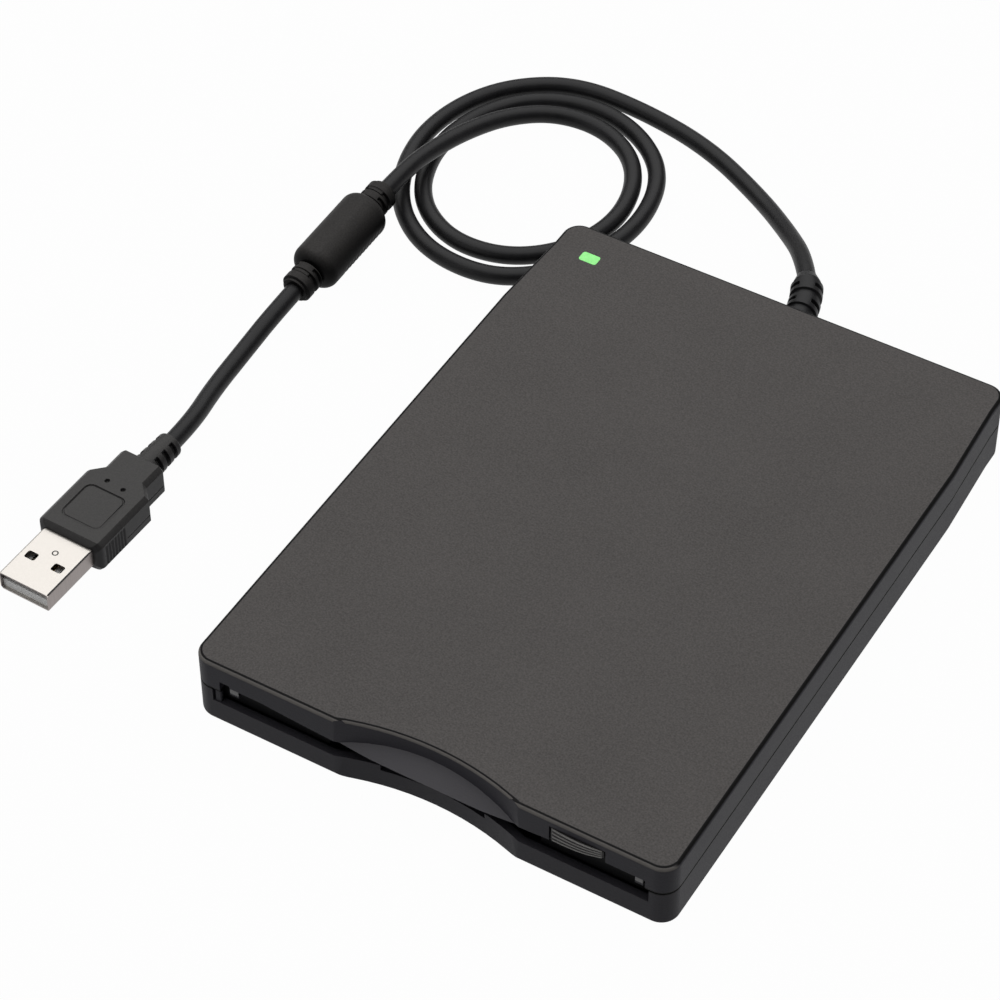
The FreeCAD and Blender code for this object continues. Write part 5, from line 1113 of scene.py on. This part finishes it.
def coil_spring(low, high, axis, wire, turns):
    """Helix that fills a CAD box: middle line = radius * (cos a, sin a), a = turns * 2 pi * share."""
    along = "xyz".index(axis)
    across = [i for i in range(3) if i != along]
    share = np.linspace(0, 1, int(turns * 28))
    angle = share * turns * TURN
    outward = np.zeros((len(share), 3))
    outward[:, across[0]] = np.cos(angle)
    outward[:, across[1]] = np.sin(angle)
    line = (low + high) / 2 + ((high - low)[across[0]] / 2 - wire) * outward
    line[:, along] = low[along] + wire + share * (high[along] - low[along] - 2 * wire)
    return rod(line, outward, np.eye(3)[along], wire)


def make_springs():
    for node, axis, wire, turns in SPRINGS:
        grids = [coil_spring(low, high, axis, wire, turns) for low, high in solids(node)]
        add_surface("wound_" + node, grids, "housing", "spring_steel", node)


def make_coils():
    """Stator coils: rings of wound wire, radius = ring + ridges of one wire each."""
    grids = []
    for low, high in solids("stator_coils"):
        centre = (low + high) / 2
        tall = high[2] - low[2]
        outer = (high - low)[0] / 2
        z = np.linspace(0, tall, 33)
        ridge = COIL_WIRE * np.abs(np.sin(z / tall * math.pi * COIL_LAYERS))
        wall_out = np.stack([z, outer - COIL_WIRE + ridge], axis=-1)
        wall_in = np.stack([z[::-1], outer * COIL_BORE + COIL_WIRE - ridge[::-1]], axis=-1)
        profile = np.concatenate([wall_out, wall_in, wall_out[:1]])
        grids.append(turned(profile, (centre[0], centre[1], low[2]), columns=48))
    add_surface("wound_coils", grids, "housing", "copper", "stator_coils")


def make_lead_screw():
    """Lead screw: radius = rod - groove, the groove once round per LEAD of length."""
    low, high = in_mm(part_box("lead_screw"))
    centre = (low + high) / 2
    y = np.linspace(low[1], high[1], 300)
    turn = (y[:, None] / LEAD - around(36) / TURN) % 1
    threaded = plateau(y, low[1] + 1, high[1] - 1, 0.4)[:, None]
    radii = (high - low)[0] / 2 - LEAD_DEPTH * plateau(turn, 0.3, 0.7, 0.25) * threaded
    centres = np.stack([np.full(len(y), centre[0]), y, np.full(len(y), centre[2])], axis=-1)
    grid = swept(centres, EAST, UPWARD, radii)
    add_surface("grooved_screw", [grid], "screw", "screw_steel", "lead_screw")


# inner pieces by the width of their rounded edges, in mm
ROUNDED_NODES = {
    0.03: ("plug_contacts",),
    0.08: ("stator_board", "control_board", "usb_board", "holder_pins"),
    0.1: ("drive_top_plate", "latch_lever", "spindle_hub", "control_chips", "usb_chips", "latch_pivot"),
    0.12: ("drive_chassis", "disk_holder", "slide_plate", "motor_bracket", "rod_clamps", "spindle_rotor",
           "flex_sockets", "disk_sensors", "plug_tongue", "lower_head", "upper_head", "screw_follower"),
    0.15: ("cord_socket", "status_lamp", "light_pipe"),
    0.2: ("head_carriage", "upper_head_arm", "stepper_motor"),
    0.3: ("crystal", "bead_core"),
}


def round_nodes():
    """The drive's inner pieces keep their CAD shape and get rounded edges."""
    for width, names in ROUNDED_NODES.items():
        for name in names:
            rounding = NODES[name].modifiers.new("rounded_edges", "BEVEL")
            rounding.width = width * MM
            rounding.segments = 2
            rounding.limit_method = "ANGLE"
            rounding.angle_limit = math.radians(35)
            rounding.harden_normals = False
            NODES[name].modifiers.new("even_shading", "WEIGHTED_NORMAL").keep_sharp = False


# -------- light and floor

WHITE = (1, 1, 1, 1)
FLOOR_HALF = 4.0
FLOOR_Z = -0.02 * MM
FLOOR_GREY = (0.25, 0.25, 0.25, 1)
FLOOR_GLOW = 0.98
AIR = 0.12
# name, place, width and depth, power, colour
LAMPS = (
    ("top_panel", (-0.25, 0.35, 1.1), (2.2, 2.2), 30.0, (1, 1, 1)),
    ("side_panel", (1.0, 0.5, 0.4), (0.8, 0.8), 0.5, (0.92, 0.90, 1.0)),
    ("front_panel", (-0.5, -1.0, 0.5), (0.9, 0.6), 1.6, (1, 1, 1)),
)


def area_light(name, place, size, energy, colour):
    """Rectangular lamp that looks at the origin."""
    lamp = bpy.data.lights.new(name, "AREA")
    lamp.shape = "RECTANGLE"
    lamp.size, lamp.size_y = size
    lamp.energy = energy
    lamp.color = colour
    made = add_object(name, lamp)
    made.location = place
    made.rotation_euler = (-Vector(place)).to_track_quat("-Z", "Y").to_euler()


def make_floor():
    """Matt floor for the shadows; it looks white to the camera, in reflections and through clear pieces."""
    floor = bpy.data.meshes.new("studio_floor")
    corners = [(x * FLOOR_HALF, y * FLOOR_HALF, FLOOR_Z) for x, y in ((-1, -1), (1, -1), (1, 1), (-1, 1))]
    floor.from_pydata(corners, [], [(0, 1, 2, 3)])
    stand = add_object("studio_floor", floor)
    material, tree, surface_socket = blank_material("studio_floor")
    matte = add_node(tree, "BsdfDiffuse", Color=FLOOR_GREY)
    glow = add_node(tree, "Emission", Color=WHITE, Strength=1.0)
    rays = add_node(tree, "LightPath").outputs
    seen = maths(tree, "MAXIMUM", rays["Is Camera Ray"], rays["Is Glossy Ray"])
    seen = maths(tree, "MAXIMUM", seen, rays["Is Transmission Ray"])
    both = add_node(tree, "MixShader", Fac=maths(tree, "MULTIPLY", seen, FLOOR_GLOW))
    feed(both.inputs[1], matte.outputs[0])
    feed(both.inputs[2], glow.outputs[0])
    feed(surface_socket, both.outputs[0])
    floor.materials.append(material)


def make_studio():
    """Floor, air that is white to the camera and dim as a light, and three lamps."""
    make_floor()
    world = bpy.data.worlds.new("studio_air")
    world.use_nodes = True
    SCENE.world = world
    tree = world.node_tree
    air = tree.nodes["Background"].inputs
    air["Color"].default_value = WHITE
    rays = add_node(tree, "LightPath").outputs
    feed(air["Strength"], ranged(tree, rays["Is Camera Ray"], 0.0, 1.0, AIR, 1.0))
    for values in LAMPS:
        area_light(*values)
    SCENE.view_settings.view_transform = "Standard"


# -------- all together

place_camera()
lead = lay_cord()
lead.data.materials.append(FINISHES["cord_black"])
dress_nodes()
make_covers()
make_button()
make_lugs()
make_boot()
make_bead()
make_grip()
make_plug_shell()
make_screws()
make_feet()
make_springs()
make_coils()
make_lead_screw()
round_nodes()
make_studio()

bpy.context.view_layer.update()
